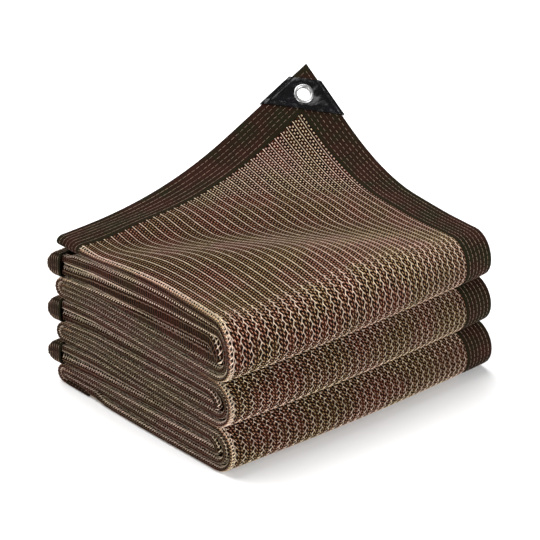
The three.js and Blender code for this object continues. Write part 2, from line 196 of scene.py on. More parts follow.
@dataclass
class FoldedRoute:
    """The whole way of the doubled net, from the top's free edge to the tail's.

    Attributes:
        turn_steps: facets of each turn.
        run_step: distance between the points of a run, in millimetres.
        end_steps: facets of the top end's binding and of the tail end's.
        top_fade: depth from which the top sheet counts as such, and over what run.
        ear_inset: how far the ears stand in from the doubled edge.
        marks: the way at which each named place of the route lies.
    """

    sizes: PackSizes = SIZES
    turn_steps: int = 14
    run_step: float = 9.0
    end_steps: tuple[int, int] = (8, 4)
    top_fade: tuple[float, float] = (30.0, 30.0)
    ear_inset: float = 10.5
    marks: dict[str, float] = field(default_factory=dict)

    def __post_init__(self) -> None:
        """Lays the route and measures it."""
        self._points: list[RoutePoint] = []
        self._named: dict[str, int] = {}
        self.runs: dict[tuple[int, str], slice] = {}
        self._lay()
        self.y = np.array([p.y for p in self._points])
        self.z = np.array([p.z for p in self._points])
        self.top = np.array([p.top for p in self._points])
        self.inset = np.array([p.inset for p in self._points])
        steps = np.hypot(np.diff(self.y), np.diff(self.z))
        self.way = np.concatenate([[0.0], np.cumsum(steps)])
        ty, tz = np.gradient(self.y, self.way), np.gradient(self.z, self.way)
        length = np.hypot(ty, tz)
        self.normal_y, self.normal_z = tz / length, -ty / length
        self.marks = {name: float(self.way[i]) for name, i in self._named.items()}

    def _layer(self, packet: int, key: str, faces: End) -> float:
        """Height of a layer of a packet at its front or its rear.

        Args:
            packet: the packet, from 0 at the top.
            key: the layer.
            faces: the front or the rear.

        Returns:
            The height.
        """
        below = packet + 1 if key == "next a" else packet
        front, rear = LAYERS["a" if key == "next a" else key]
        height = front if faces is End.FRONT else rear
        return self.sizes.stack - below * self.sizes.packet_height + height

    def _run(self, end: RoutePoint, top: bool, flat_until: float | None) -> None:
        """Adds the points between the last one and the next turn.

        Args:
            end: where the run arrives.
            top: whether it is the run of the top sheet.
            flat_until: depth as far as which the run lies level, or None.
        """
        start = self._points[-1]
        fade_start, fade_run = self.top_fade
        count = max(2, round(abs(end.y - start.y) / self.run_step))
        for i in range(1, count):
            t = i / count
            y = mix(start.y, end.y, t)
            if flat_until is not None:
                t = (y - flat_until) / (self.sizes.rest_lifted - flat_until)
            z = mix(start.z, end.z, float(smooth(t)))
            share = float(smooth((y - fade_start) / fade_run)) if top else 0.0
            self._points.append(RoutePoint(y, z, share))

    def _bend(self, turn: Turn, z0: float, z1: float, packet: int) -> None:
        """Adds one turn, and names where it starts, peaks and ends.

        Args:
            turn: the turn.
            z0: height at which it starts.
            z1: height at which it ends.
            packet: the packet that it is in, from 0 at the top.
        """
        side = turn.faces.value
        centre, radius = (z0 + z1) / 2, abs(z0 - z1) / 2
        inset = self.ear_inset if turn.name == "ear" else 0.0
        for i in range(self.turn_steps + 1):
            angle = math.pi * i / self.turn_steps
            z = centre + (z0 - centre) * math.cos(angle)
            y = turn.tip - side * radius * (1 - math.sin(angle)) + turn.lean * (z - centre)
            self._points.append(RoutePoint(y, z, 0.0, inset))
            if i in (0, self.turn_steps // 2, self.turn_steps):
                place = {0: "start", self.turn_steps: "end"}.get(i, "tip")
                self._named[f"{packet} {turn.name} {place}"] = len(self._points) - 1

    def _lay(self) -> None:
        """Lays the whole route."""
        s = self.sizes
        level = s.stack + s.half
        seam = s.top_end - s.binding
        top_steps, tail_steps = self.end_steps
        for i in range(top_steps + 1):
            self._points.append(RoutePoint(mix(s.top_end, seam, i / top_steps), level, 1.0))
        self._named["top end"] = 0
        self._named["top seam"] = len(self._points) - 1
        for packet in range(s.packets):
            for turn in TURNS:
                z0 = self._layer(packet, turn.start, turn.faces)
                z1 = self._layer(packet, turn.end, turn.faces)
                radius = abs(z0 - z1) / 2
                y0 = turn.tip - turn.faces.value * radius + turn.lean * (z0 - z1) / 2
                top = packet == 0 and turn.name == "outer front"
                lowest = packet == s.packets - 1 and turn.name == "inner lobe"
                first = len(self._points)
                self._run(RoutePoint(y0, z0), top, s.rest_end if lowest else None)
                self.runs[packet, turn.start] = slice(first, len(self._points))
                self._bend(turn, z0, z1, packet)
        last = self._points[-1]
        self._run(RoutePoint(s.tail_end + s.binding, last.z), False, None)
        self._points.append(RoutePoint(s.tail_end + s.binding, last.z))
        self._named["tail seam"] = len(self._points) - 1
        for i in range(1, tail_steps + 1):
            y = s.tail_end + s.binding * (1 - i / tail_steps)
            self._points.append(RoutePoint(y, last.z))
        self._named["tail end"] = len(self._points) - 1

    def at(self, way: np.ndarray) -> tuple[np.ndarray, ...]:
        """Depth, height, normal, share of top sheet and inset at some ways along the route.

        Args:
            way: the ways.

        Returns:
            Depth, height, the normal's two parts, share of the top sheet and inset.
        """
        values = (self.y, self.z, self.normal_y, self.normal_z, self.top, self.inset)
        y, z, ny, nz, top, inset = (np.interp(way, self.way, v) for v in values)
        length = np.hypot(ny, nz)
        return y, z, ny / length, nz / length, top, inset


@dataclass
class PackShape:
    """Moves the points of a plain, straight pack to their places in the uneven one.

    Distances are in millimetres, and "past" is measured square to the line where the corner bends.

    Attributes:
        crown_doubled, crown_bound: height of the top's camber at its doubled and its bound edge.
        crown_depth: how far down into the top packet the camber is felt.
        crown_front: depth at which the camber starts to fall.
        crown_shortest: the shortest run over which it falls.
        ridge: the slanting ridge: where it ends, over what run, its height at the doubled side
            and at the bound side, and the depth of the dip before it.
        ridge_from: distance from the doubled edge at which the ridge is full.
        crest_front: depth of the ridge's crest where it comes nearest to the front.
        dip_run: run over which the dip grows with the crest's depth.
        slack: the slack under the bend: its height, where it starts, over what run, where it
            ends, and over what fall.
        slack_edges: where the slack stops beside the bound edge and the rear, each with its run.
        bend: the direction in which the corner rises.
        bend_start, bend_straight: where the bend starts, and where it turns straight.
        bend_rate: how sharply it bends.
        bend_inward: how far the raised cloth moves in for each millimetre that it rises.
        droop: where the layers below start to droop, where the droop is full, and its fall.
        droop_packets: height, in packets, below which the droop gets less.
        bulge: how far the fronts bulge out, and over what depth.
        rear_lift: where the free end starts to lift, where the lift is full, and its height.
        rear_fade: distances from the doubled edge between which that lift fades.
        skew: how far the top sheet's bound side is pushed back, from what depth and over what run.
        stagger: how far the edges stand out unevenly, their wave, and their share in the middle.
    """

    sizes: PackSizes = SIZES
    crown_doubled: float = 25.0
    crown_bound: float = 4.0
    crown_depth: float = 34.0
    crown_front: float = 95.0
    crown_shortest: float = 60.0
    ridge: tuple[float, float, float, float, float] = (150.0, 100.0, 26.0, 6.0, 10.0)
    ridge_from: float = 70.0
    crest_front: float = 30.0
    dip_run: float = 60.0
    slack: tuple[float, float, float, float, float] = (7.0, -45.0, 50.0, 40.0, 80.0)
    slack_edges: tuple[float, float, float, float] = (351.0, 80.0, 300.0, 50.0)
    bend: tuple[float, float] = (0.45, 0.893)
    bend_start: float = 290.0
    bend_straight: float = 395.0
    bend_rate: float = 0.0041
    bend_inward: float = 0.09
    droop: tuple[float, float, float] = (240.0, 317.0, 7.0)
    droop_packets: float = 1.2
    bulge: tuple[float, float] = (6.0, 90.0)
    rear_lift: tuple[float, float, float] = (225.0, 290.0, 7.0)
    rear_fade: tuple[float, float] = (0.0, 250.0)
    skew: tuple[float, float, float] = (10.0, 100.0, 130.0)
    stagger: tuple[float, float, float] = (1.4, 61.0, 0.2)

    def crown(self, x: np.ndarray, y: np.ndarray) -> np.ndarray:
        """Height of the camber of the top packet.

        Args:
            x: distance from the doubled edge.
            y: distance from the front.

        Returns:
            How far the top stands over a level one.
        """
        across = mix(self.crown_doubled, self.crown_bound, smooth(x / self.sizes.width))
        bend_y = (self.bend_start - self.bend[0] * x) / self.bend[1]
        end = np.maximum(self.crown_front + self.crown_shortest, bend_y)
        edge = across * (1 - smooth((y - self.crown_front) / (end - self.crown_front)))
        start, run, height, bound_height, dip = self.ridge
        high = mix(height, bound_height, smooth((x - start) / (self.sizes.width - start)))
        crest_y = np.maximum(self.crest_front, (start - self.bend[0] * x) / self.bend[1])
        far = 1 - smooth((self.bend[0] * x + self.bend[1] * y - start) / run)
        dipped = np.clip((crest_y - self.crest_front) / self.dip_run, 0, 1)
        near = dip * dipped * (1 - smooth(y / crest_y))
        return mix(edge, high * far - near, smooth(x / self.ridge_from))

    def corner_rise(self, x: np.ndarray, y: np.ndarray) -> np.ndarray:
        """Height of the raised leaf above the pack: a bend, then a straight slope.

        Args:
            x: distance from the doubled edge.
            y: distance from the front.

        Returns:
            How far the leaf stands over the pack.
        """
        past = self.bend[0] * x + self.bend[1] * y - self.bend_start
        span = self.bend_straight - self.bend_start
        bent = self.bend_rate * past**2
        straight = self.bend_rate * span * (2 * past - span)
        rise = np.where(past <= 0, 0.0, np.where(past < span, bent, straight))
        height, start, run, end, fall = self.slack
        slack = height * smooth((past - start) / run) * (1 - smooth((past - end) / fall))
        side, side_run, rear, rear_run = self.slack_edges
        slack = slack * smooth((side - x) / side_run) * smooth((rear - y) / rear_run)
        return rise + slack

    def lifted(self, x: np.ndarray, y: np.ndarray, top: np.ndarray) -> np.ndarray:
        """Share of the lift that the free end of the top sheet has at its doubled side."""
        start, end, _ = self.rear_lift
        fade = smooth((x - self.rear_fade[0]) / (self.rear_fade[1] - self.rear_fade[0]))
        return top * smooth((y - start) / (end - start)) * (1 - fade)

    def settle(
        self,
        x: np.ndarray,
        y: np.ndarray,
        z: np.ndarray,
        top: np.ndarray,
        raised: np.ndarray,
        way: np.ndarray,
        inset: np.ndarray,
    ) -> np.ndarray:
        """Moves plain points to their places.

        Args:
            x, y, z: the plain points, in millimetres from the near bottom corner.
            top: 1 on the top sheet, 0 elsewhere.
            raised: 1 on the outer leaf, 0 on the inner one, and between them round the edge.
            way: distance along the route, which staggers the edges.
            inset: how far the points stand in from the doubled edge.

        Returns:
            The settled points, one row each, in metres in the row frame.
        """
        s = self.sizes
        share = x / s.width
        amount, wave, middle = self.stagger
        shift = amount * (1 - np.abs(2 * share - 1) * middle) * np.sin(way / wave)
        px = x + inset * (1 - share) + shift * (1 - top)
        within = np.clip((z - (s.stack - self.crown_depth)) / self.crown_depth, 0, 1)
        pz = z + self.crown(x, y) * within
        front = self.bulge[0] * np.sin(np.pi * share) * (1 - smooth(y / self.bulge[1]))
        skew = self.skew[0] * share * smooth((y - self.skew[1]) / self.skew[2])
        py = y - front + skew * top
        pz = pz + raised * self.rear_lift[2] * self.lifted(x, y, top)
        start, end, fall = self.droop
        past = np.maximum(0, (y - start) / (end - start))
        low = np.minimum(1, z / (self.droop_packets * s.packet_height))
        pz = pz - (1 - top) * fall * past * low
        rise = self.corner_rise(px, py) * raised * top
        px = px - self.bend_inward * rise
        points = np.stack([px - s.origin_x, py - s.origin_y, pz + rise], axis=-1)
        return points * MM


@dataclass
class FoldPlan:
    """Carries a flat plan of the net to its folded place.

    The plan's first number runs across the cut cloth from the doubled edge: above 0 on the outer
    leaf and below 0 on the inner one. The second is the way along the net, and the third is the
    height over the middle of the cloth.

    Attributes:
        round_start, round_depth, round_arc: where the doubled edge's round starts, how deep it
            is, and how much cloth goes round it on each leaf.
        edge_room: room kept free between two edges that swell.
        tape_room: room that a cross tape takes up beside them.
        beside_tape: depth from which that room is kept, and over what run.
        under_tape: depth from which the swell is taken back under a cross tape, and its run.
        floor_room: room kept free under the lowest layer.
        tail_margin: how far before the tail's end that layer already rests on it.
        swell_reach: how far in from the edge the swell is felt.
        swell_puff: share of the swell by which the edge stands out.
        round_puff: how far the edge of the lifted top sheet stands out.
        puff_reach: how far in from the edge that is felt.
        corner_pull: how far the top seam is drawn in, from what place, over what run across, and
            over what way along the net.
        fan_front, fan_back: how much wider apart the wales lie on the fronts and at the back.
        fan_fade: depth from which the spread changes, and over what run.
    """

    route: FoldedRoute = field(default_factory=FoldedRoute)
    shape: PackShape = field(default_factory=PackShape)
    round_start: float = 4.32
    round_depth: float = 3.37
    round_arc: float = 4.15
    edge_room: float = 2.3
    tape_room: float = 2.2
    beside_tape: tuple[float, float] = (275.0, 15.0)
    under_tape: tuple[float, float] = (272.0, 14.0)
    floor_room: float = 0.6
    tail_margin: float = 2.0
    swell_reach: float = 14.0
    swell_puff: float = 0.25
    round_puff: float = 4.0
    puff_reach: float = 15.0
    corner_pull: tuple[float, float, float, float] = (7.0, 150.0, 200.0, 90.0)
    fan_front: float = 0.286
    fan_back: float = 0.07
    fan_fade: tuple[float, float] = (20.0, 250.0)

    def __post_init__(self) -> None:
        """Works out how far each doubled edge swells into the room beside it."""
        route = self.route
        none = np.zeros_like(route.y)
        settled = self.shape.settle(none, route.y, route.z, route.top, none, route.way, none)
        self._height = settled[:, 2] / MM
        self.swell_out, self.swell_in = (np.full(len(route.y), np.nan) for _ in Leaf)
        for packet in range(SIZES.packets):
            for one, other, outwards in FACING_LAYERS:
                swell = self.swell_out if outwards else self.swell_in
                self._swell_between(packet, one, other, swell)
        under = route.runs[SIZES.packets - 1, "f"]
        on_tail = route.y[under] > SIZES.tail_end - self.tail_margin
        tail_top = np.where(on_tail, 2 * SIZES.half + self.floor_room, 0.0)
        room = self._height[under] - SIZES.half - self.floor_room - tail_top
        self.swell_out[under] = np.maximum(0, room)
        for swell in (self.swell_out, self.swell_in):
            swell[0] = 0.0
            known = ~np.isnan(swell)
            swell[:] = np.interp(route.way, route.way[known], swell[known])

    def _swell_between(self, packet: int, one: str, other: str, swell: np.ndarray) -> None:
        """Shares the room between two facing layers of a packet out to both of them.

        Args:
            packet: the packet, from 0 at the top.
            one: the upper layer.
            other: the lower layer.
            swell: the swell along the whole route; it is filled in at both layers.
        """
        runs = self.route.runs
        beside_start, beside_run = self.beside_tape
        under_start, under_run = self.under_tape
        for key, beside in ((one, other), (other, one)):
            here, there = runs[packet, key], runs[packet, beside]
            y = self.route.y[here]
            order = np.argsort(self.route.y[there])
            facing = np.interp(y, self.route.y[there][order], self._height[there][order])
            room = np.abs(self._height[here] - facing) - 2 * SIZES.half - self.edge_room
            if (one, other) == ("a", "b"):
                room = room - self.tape_room * smooth((y - beside_start) / beside_run)
            under_tape = key in EAR_LAYERS and beside not in EAR_LAYERS
            taped = smooth((y - under_start) / under_run) if under_tape else 0.0
            swell[here] = np.maximum(0, room / 2) * (1 - taped)

    @property
    def half_width(self) -> float:
        """Half the width of the whole cut cloth, its binding included."""
        return self.round_arc + SIZES.width - self.round_start

    @property
    def panel_half(self) -> float:
        """Half the width of the knitted net alone."""
        return self.round_arc + SIZES.panel - self.round_start

    def fanned(self, across: np.ndarray, y: np.ndarray, top: np.ndarray) -> np.ndarray:
        """Spreads the wales, which lie wider apart towards the doubled edge of each front fold.

        Args:
            across: places across the cloth.
            y: distances from the front.
            top: 1 on the top sheet and 0 elsewhere.

        Returns:
            The places with the spread.
        """
        start, run = self.fan_fade
        fan = mix(self.fan_front, self.fan_back, smooth((y - start) / run) * top)
        t = np.minimum(1.0, np.abs(across) / self.panel_half)
        inside = self.panel_half * (t * (1 + fan) - fan * t * t)
        return np.sign(across) * (inside + np.maximum(0, np.abs(across) - self.panel_half))

    def drawn_in(self, across: np.ndarray, way: np.ndarray) -> np.ndarray:
        """How far the top seam is drawn towards the edge near the raised corner."""
        amount, start, run, reach = self.corner_pull
        near = smooth(way / SIZES.binding) * (1 - smooth((way - SIZES.binding) / reach))
        return amount * smooth((across - start) / run) * near

    def place(self, flat: np.ndarray, fan: bool = True) -> np.ndarray:
        """Folds points of the flat plan.

        Args:
            flat: one row for each point, in millimetres.
            fan: whether the wales' spread applies.

        Returns:
            The folded points in metres.
        """
        across, way, height = flat.T
        way = way - self.drawn_in(across, way)
        y, z, ny, nz, top, inset = self.route.at(way)
        if fan:
            across = self.fanned(across, y, top)
        side = np.sign(across)
        reach = np.abs(across)
        angle = np.clip(across / self.round_arc, -1, 1) * math.pi / 2
        off = SIZES.leaf_middle + height
        swell_out = np.interp(way, self.route.way, self.swell_out)
        swell_in = np.interp(way, self.route.way, self.swell_in)
        lifted = self.shape.lifted(reach, y, top)
        puff = self.round_puff * lifted + self.swell_puff * (swell_out + swell_in)
        round_x = self.round_start + puff - (self.round_depth + puff + height) * np.cos(angle)
        past = np.maximum(0, reach - self.round_arc)
        flat_x = self.round_start + past + puff * np.exp(-past / self.puff_reach)
        x = np.where(reach < self.round_arc, round_x, flat_x)
        felt = np.exp(-((past / self.swell_reach) ** 2))
        out = off + np.where(across > 0, swell_out, swell_in) * felt
        n = np.where(reach < self.round_arc, out * np.sin(angle), out * side)
        raised = (1 + np.sin(angle)) / 2
        return self.shape.settle(x, y + n * ny, z + n * nz, top, raised, way, inset)


# ------------------------------------------------------------------ finishes


class Nodes:
    """A short way to write a material's nodes."""

    def __init__(self, name: str) -> None:
        """Starts an empty material with a Principled shader."""
        self.material = bpy.data.materials.new(name)
        self.material.use_nodes = True
        self.tree = self.material.node_tree
        self.shader = next(n for n in self.tree.nodes if n.type == "BSDF_PRINCIPLED")

    def add(self, kind: str, **settings: object) -> bpy.types.Node:
        """Adds a node and sets its own settings."""
        node = self.tree.nodes.new(kind)
        for key, value in settings.items():
            setattr(node, key, value)
        return node

    def link(self, source: Socket, target: Socket) -> None:
        """Joins two sockets."""
        self.tree.links.new(source, target)

    def position(self) -> Socket:
        """The place on the object, in metres."""
        return self.add("ShaderNodeTexCoord").outputs["Object"]

    def flat_axes(self) -> tuple[Socket, Socket]:
        """The places across and along the flat plan, which is the piece's UV map, in metres."""
        axes = self.add("ShaderNodeSeparateXYZ")
        self.link(self.add("ShaderNodeUVMap", uv_map="flat").outputs["UV"], axes.inputs[0])
        return axes.outputs[0], axes.outputs[1]

    def noise(self, scale: float, detail: float = 3.0) -> Socket:
        """A noise between 0 and 1 on the object, with some features to the metre.

        Args:
            scale: features to the metre.
            detail: how many finer noises are added.

        Returns:
            The noise.
        """
        node = self.add("ShaderNodeTexNoise")
        node.inputs["Scale"].default_value = scale
        node.inputs["Detail"].default_value = detail
        self.link(self.position(), node.inputs["Vector"])
        return node.outputs["Fac"]

    def fill(self, socket: Socket, value: object) -> None:
        """Gives a socket its value: another socket, a number or a colour."""
        if isinstance(value, Socket):
            self.link(value, socket)
        else:
            socket.default_value = value if isinstance(value, (int, float)) else (*value, 1.0)

    def math(self, operation: str, a: object, b: object = 0.0) -> Socket:
        """A sum of one or two values, each a socket or a number.

        Args:
            operation: what is done with them.
            a: the first value.
            b: the second value, where there is one.

        Returns:
            The result.
        """
        node = self.add("ShaderNodeMath", operation=operation)
        self.fill(node.inputs[0], a)
        self.fill(node.inputs[1], b)
        return node.outputs[0]

    def ramp(self, value: Socket, stops: Sequence[tuple[float, Sequence[float]]]) -> Socket:
        """A run of colours along a value; each stop is its place and its colour.

        Args:
            value: the socket that it follows.
            stops: the place and the colour of each stop.

        Returns:
            The colour.
        """
        node = self.add("ShaderNodeValToRGB")
        ramp = node.color_ramp
        while len(ramp.elements) < len(stops):
            ramp.elements.new(0.5)
        for element, (place, colour) in zip(ramp.elements, stops):
            element.position = place
            element.color = (*colour, 1.0)
        self.link(value, node.inputs["Fac"])
        return node.outputs["Color"]

    def blend(self, share: object, a: object, b: object, kind: str = "MIX") -> Socket:
        """A mixture of two colours, each a socket or a colour.

        Args:
            share: how much of the second one there is.
            a: the first colour.
            b: the second colour.
            kind: the way in which they are mixed.

        Returns:
            The mixed colour.
        """
        node = self.add("ShaderNodeMix", data_type="RGBA", blend_type=kind)
        self.fill(node.inputs["Factor"], share)
        self.fill(node.inputs[6], a)
        self.fill(node.inputs[7], b)
        return node.outputs[2]

    def bump(self, height: Socket, distance: float, strength: float = 1.0) -> None:
        """Raises the surface by a height between 0 and 1, times a distance in metres.

        Args:
            height: the height.
            distance: what a height of 1 stands for.
            strength: how far it is felt.
        """
        node = self.add("ShaderNodeBump")
        node.inputs["Strength"].default_value = strength
        node.inputs["Distance"].default_value = distance
        self.link(height, node.inputs["Height"])
        self.link(node.outputs["Normal"], self.shader.inputs["Normal"])

    def base(self, colour: Socket, roughness: float, specular: float) -> None:
        """Sets the shader's colour and gloss."""
        self.link(colour, self.shader.inputs["Base Color"])
        self.shader.inputs["Roughness"].default_value = roughness
        self.shader.inputs["Specular IOR Level"].default_value = specular


def grey(value: float) -> Colour:
    """A grey of some brightness."""
    return (value, value, value)


@dataclass(frozen=True)
class GroundFinish:
    """The fine dark ground of the knitted net: rows of small loops, with painted shade for the
    holes between them, since the ground is a closed sheet.
    """

    # dark is painted shade for the knit's holes; warm and light are the ground's own browns
    dark: Colour = (0.0015, 0.0007, 0.0004)
    warm: Colour = (0.009, 0.0026, 0.0008)
    light: Colour = (0.042, 0.013, 0.0034)
    patch_tints: tuple[Colour, ...] = ((0.9, 1.05, 0.8), (1.0, 1.0, 1.0), (1.35, 0.9, 0.9))
    column: float = 6.88 * MM
    course: float = 4.1 * MM
    patch_scale: float = 22.0
    fine_scale: float = 900.0
    roughness: float = 0.9
    specular: float = 0.06
    relief: float = 0.8 * MM
    relief_strength: float = 0.8

    def material(self) -> Material:
        """Makes the material."""
        n = Nodes("knitted_ground")
        across, along = n.flat_axes()
        across = n.math("MULTIPLY", across, math.pi / self.column)
        along = n.math("MULTIPLY", along, math.pi / self.course)
        one = n.math("SINE", n.math("ADD", across, along))
        two = n.math("SINE", n.math("SUBTRACT", across, along))
        loops = n.math("ABSOLUTE", n.math("MULTIPLY", one, two))
        share = n.math("MULTIPLY", loops, n.math("ADD", n.noise(self.fine_scale), 0.35))
        # the lattice is the knit's own pattern; its near-black holes are painted shade, standing in
        # for the shade seen through open holes
        loop = n.ramp(share, ((0.0, self.light), (0.25, self.warm), (0.6, self.dark)))
        stops = zip((0.38, 0.5, 0.62), self.patch_tints)
        tint = n.ramp(n.noise(self.patch_scale, 1.5), tuple(stops))
        n.base(n.blend(1.0, loop, tint, "MULTIPLY"), self.roughness, self.specular)
        n.bump(n.math("SUBTRACT", 1.0, share), self.relief, self.relief_strength)
        return n.material


@dataclass(frozen=True)
class YarnFinish:
    """Knitting yarn: a flat plastic thread with a dull sheen and a slight change of tone."""

    name: str = "wale_yarn"
    colour: Colour = (0.92, 0.72, 0.55)
    red: Colour = (0.93, 0.70, 0.56)
    olive: Colour = (0.90, 0.73, 0.51)
    roughness: float = 0.55
    specular: float = 0.2
    patch_scale: float = 22.0
    fine_scale: float = 420.0
    shades: tuple[float, float] = (0.55, 1.25)
    relief: float = 0.2 * MM
    relief_strength: float = 0.5

    def material(self) -> Material:
        """Makes the material."""
        n = Nodes(self.name)
        wide, fine = n.noise(self.patch_scale, 1.5), n.noise(self.fine_scale)
        tone = n.ramp(wide, ((0.38, self.olive), (0.5, self.colour), (0.62, self.red)))
        low, high = self.shades
        shade = n.ramp(fine, ((0.3, grey(low)), (0.7, grey(high))))
        n.base(n.blend(1.0, tone, shade, "MULTIPLY"), self.roughness, self.specular)
        n.bump(fine, self.relief, self.relief_strength)
        return n.material


@dataclass(frozen=True)
class BindingFinish:
    """Dense dark tape: fine close ribs, with painted shade in their grooves and painted highlight
    on their crests, and a slight change of tone.
    """

    name: str = "binding_tape"
    colour: Colour = (0.0125, 0.0062, 0.0034)
    red: Colour = (0.0190, 0.0068, 0.0046)
    olive: Colour = (0.0092, 0.0080, 0.0034)
    # groove and crest: painted shade in the rib grooves and painted highlight on the rib crests
    shades: tuple[Colour, Colour] = ((0.55, 0.55, 0.55), (1.5, 1.45, 1.4))
    rib: float = 1.35 * MM
    edge_shares: tuple[float, float] = (0.02, 0.16)
    patch_scale: float = 34.0
    fine_scale: float = 700.0
    roughness: float = 0.88
    specular: float = 0.05
    relief: float = 0.4 * MM
    relief_strength: float = 0.7

    def material(self) -> Material:
        """Makes the material."""
        n = Nodes(self.name)
        ribs = [n.math("MULTIPLY", axis, 2 * math.pi / self.rib) for axis in n.flat_axes()]
        across, along = (n.math("SINE", rib) for rib in ribs)
        weave = n.math("ADD", n.math("MULTIPLY", n.math("MULTIPLY", across, along), 0.5), 0.5)
        wide, fine = n.noise(self.patch_scale), n.noise(self.fine_scale)
        tone = n.ramp(wide, ((0.36, self.olive), (0.5, self.colour), (0.64, self.red)))
        rim = n.add("ShaderNodeAttribute", attribute_name="rim").outputs["Fac"]
        olive_until, gone_at = self.edge_shares
        width_share = n.math("MULTIPLY", rim, 1 / SIZES.binding)
        near = n.ramp(width_share, ((olive_until, grey(1.0)), (gone_at, grey(0.0))))
        tone = n.blend(near, tone, self.olive)
        # the rib weave paints shade into the grooves and highlight onto the crests; the fine noise
        # and the wide tones are the tape's own change of tone
        share = n.math("ADD", n.math("MULTIPLY", weave, 0.6), n.math("MULTIPLY", fine, 0.6))
        groove, crest = self.shades
        shade = n.ramp(share, ((0.2, groove), (0.85, crest)))
        n.base(n.blend(1.0, tone, shade, "MULTIPLY"), self.roughness, self.specular)
        n.bump(share, self.relief, self.relief_strength)
        return n.material


@dataclass(frozen=True)
class FilmFinish:
    """Glossy black film over cloth, with soft dents."""

    colour: Colour = (0.0015, 0.0014, 0.0014)
    tint: Colour = (0.0030, 0.0024, 0.0034)
    roughness: float = 0.24
    specular: float = 0.3
    dent_scale: float = 60.0
    grain_scale: float = 1400.0
    relief: float = 1.2 * MM
    relief_strength: float = 0.5

    def material(self) -> Material:
        """Makes the material."""
        n = Nodes("black_film")
        dents, grain = n.noise(self.dent_scale, 2.0), n.noise(self.grain_scale, 2.0)
        tone = n.ramp(dents, ((0.4, self.colour), (0.65, self.tint)))
        n.base(tone, self.roughness, self.specular)
        height = n.math("ADD", n.math("MULTIPLY", dents, 4.0), n.math("MULTIPLY", grain, 0.2))
        n.bump(height, self.relief, self.relief_strength)
        return n.material


@dataclass(frozen=True)
class MetalFinish:
    """Bright turned aluminium with faint turning marks."""

    colour: Colour = (0.42, 0.42, 0.42)
    roughness: float = 0.36
    specular: float = 0.5
    mark_scale: float = 1600.0
    mark_shade: float = 0.92
    relief: float = 0.08 * MM
    relief_strength: float = 0.4

    def material(self) -> Material:
        """Makes the material."""
        n = Nodes("turned_aluminium")
        marks = n.noise(self.mark_scale, 2.0)
        shaded = tuple(self.mark_shade * c for c in self.colour)
        tone = n.ramp(marks, ((0.3, shaded), (0.7, self.colour)))
        n.base(tone, self.roughness, self.specular)
        n.shader.inputs["Metallic"].default_value = 1.0
        n.bump(marks, self.relief, self.relief_strength)
        return n.material


@dataclass(frozen=True)
class StitchFinish:
    """Pale sewing thread on the dark tape."""

    name: str = "sewing_thread"
    colour: Colour = (0.28, 0.19, 0.13)
    shades: tuple[Colour, Colour] = ((0.35, 0.35, 0.33), (1.1, 1.1, 1.1))
    fibre_scale: float = 160.0
    roughness: float = 0.6
    specular: float = 0.3

    def material(self) -> Material:
        """Makes the material."""
        n = Nodes(self.name)
        low, high = self.shades
        shade = n.ramp(n.noise(self.fibre_scale), ((0.3, low), (0.65, high)))
        n.base(n.blend(1.0, self.colour, shade, "MULTIPLY"), self.roughness, self.specular)
        return n.material


@dataclass(frozen=True)
class FloorFinish:
    """A plain pale studio floor."""

    colour: Colour = (0.93, 0.93, 0.93)
    scale: float = 3.0
    roughness: float = 0.9
    specular: float = 0.1

    def material(self) -> Material:
        """Makes the material."""
        n = Nodes("pale_floor")
        tone = n.ramp(n.noise(self.scale), ((0.0, self.colour), (1.0, self.colour)))
        n.base(tone, self.roughness, self.specular)
        return n.material


# ------------------------------------------------------------------ making pieces


def thread(path: Path, radius: float, sides: int = 4) -> Mesh:
    """Draws a closed thread along a path on the flat plan.

    Args:
        path: its points; it runs in the direction that its first two points lie apart.
        radius: half its thickness, in millimetres.
        sides: how many flat sides it has.

    Returns:
        A mesh that holds the thread alone, its faces outwards.
    """
    bm = bmesh.new()
    points = [Vector(p) for p in path]
    ahead = points[1] - points[0]
    axis = "X" if abs(ahead.y) >= abs(ahead.x) else "Y"
    turned = Matrix.Rotation(math.pi / 2, 4, axis)
    place = Matrix.Translation(points[0]) @ turned @ Matrix.Rotation(math.pi / sides, 4, "Z")
    bmesh.ops.create_circle(bm, cap_ends=True, radius=radius, segments=sides, matrix=place)
    cap = next(iter(bm.faces))
    for before, point in zip(points, points[1:]):
        grown = bmesh.ops.extrude_face_region(bm, geom=[cap])["geom"]
        cap = next(g for g in grown if isinstance(g, bmesh.types.BMFace))
        moved = [g for g in grown if isinstance(g, bmesh.types.BMVert)]
        bmesh.ops.translate(bm, verts=moved, vec=point - before)
    bmesh.ops.recalc_face_normals(bm, faces=bm.faces)
    return bm


def lay(bm: Mesh, pattern: Mesh, shifts: Iterable[Vector] = (Vector(),)) -> None:
    """Copies a pattern to each of the given shifts, and uses the pattern up.

    Args:
        bm: where the copies go.
        pattern: what is copied.
        shifts: how far each copy stands from the pattern.
    """
    copy = bpy.data.meshes.new("copy")
    pattern.to_mesh(copy)
    pattern.free()
    last = Vector()
    for shift in shifts:
        copy.transform(Matrix.Translation(shift - last))
        last = shift
        bm.from_mesh(copy)
    bpy.data.meshes.remove(copy)


def bowed(start: Sequence[float], reach: Sequence[float], shares: Sequence[float]) -> Path:
    """Points of a short thread that dips away from its highest point.

    Args:
        start: its highest point on the flat plan.
        reach: how far it goes across and along for each whole share, and how far it dips.
        shares: the share of each point, 0 at the highest one.

    Returns:
        The points.
    """
    x, way, height = start
    across, ahead, dip = reach
    return [(x + across * t, way + ahead * t, height - dip * t * t) for t in shares]


def as_mesh(bm: Mesh, name: str) -> bpy.types.Mesh:
    """Turns a bmesh into a mesh, and uses the bmesh up."""
    mesh = bpy.data.meshes.new(name)
    bm.to_mesh(mesh)
    bm.free()
    return mesh


def put(name: str, data: bpy.types.ID) -> Piece:
    """Puts a mesh, a light or a camera into the scene."""
    placed = bpy.data.objects.new(name, data)
    bpy.context.scene.collection.objects.link(placed)
    return placed


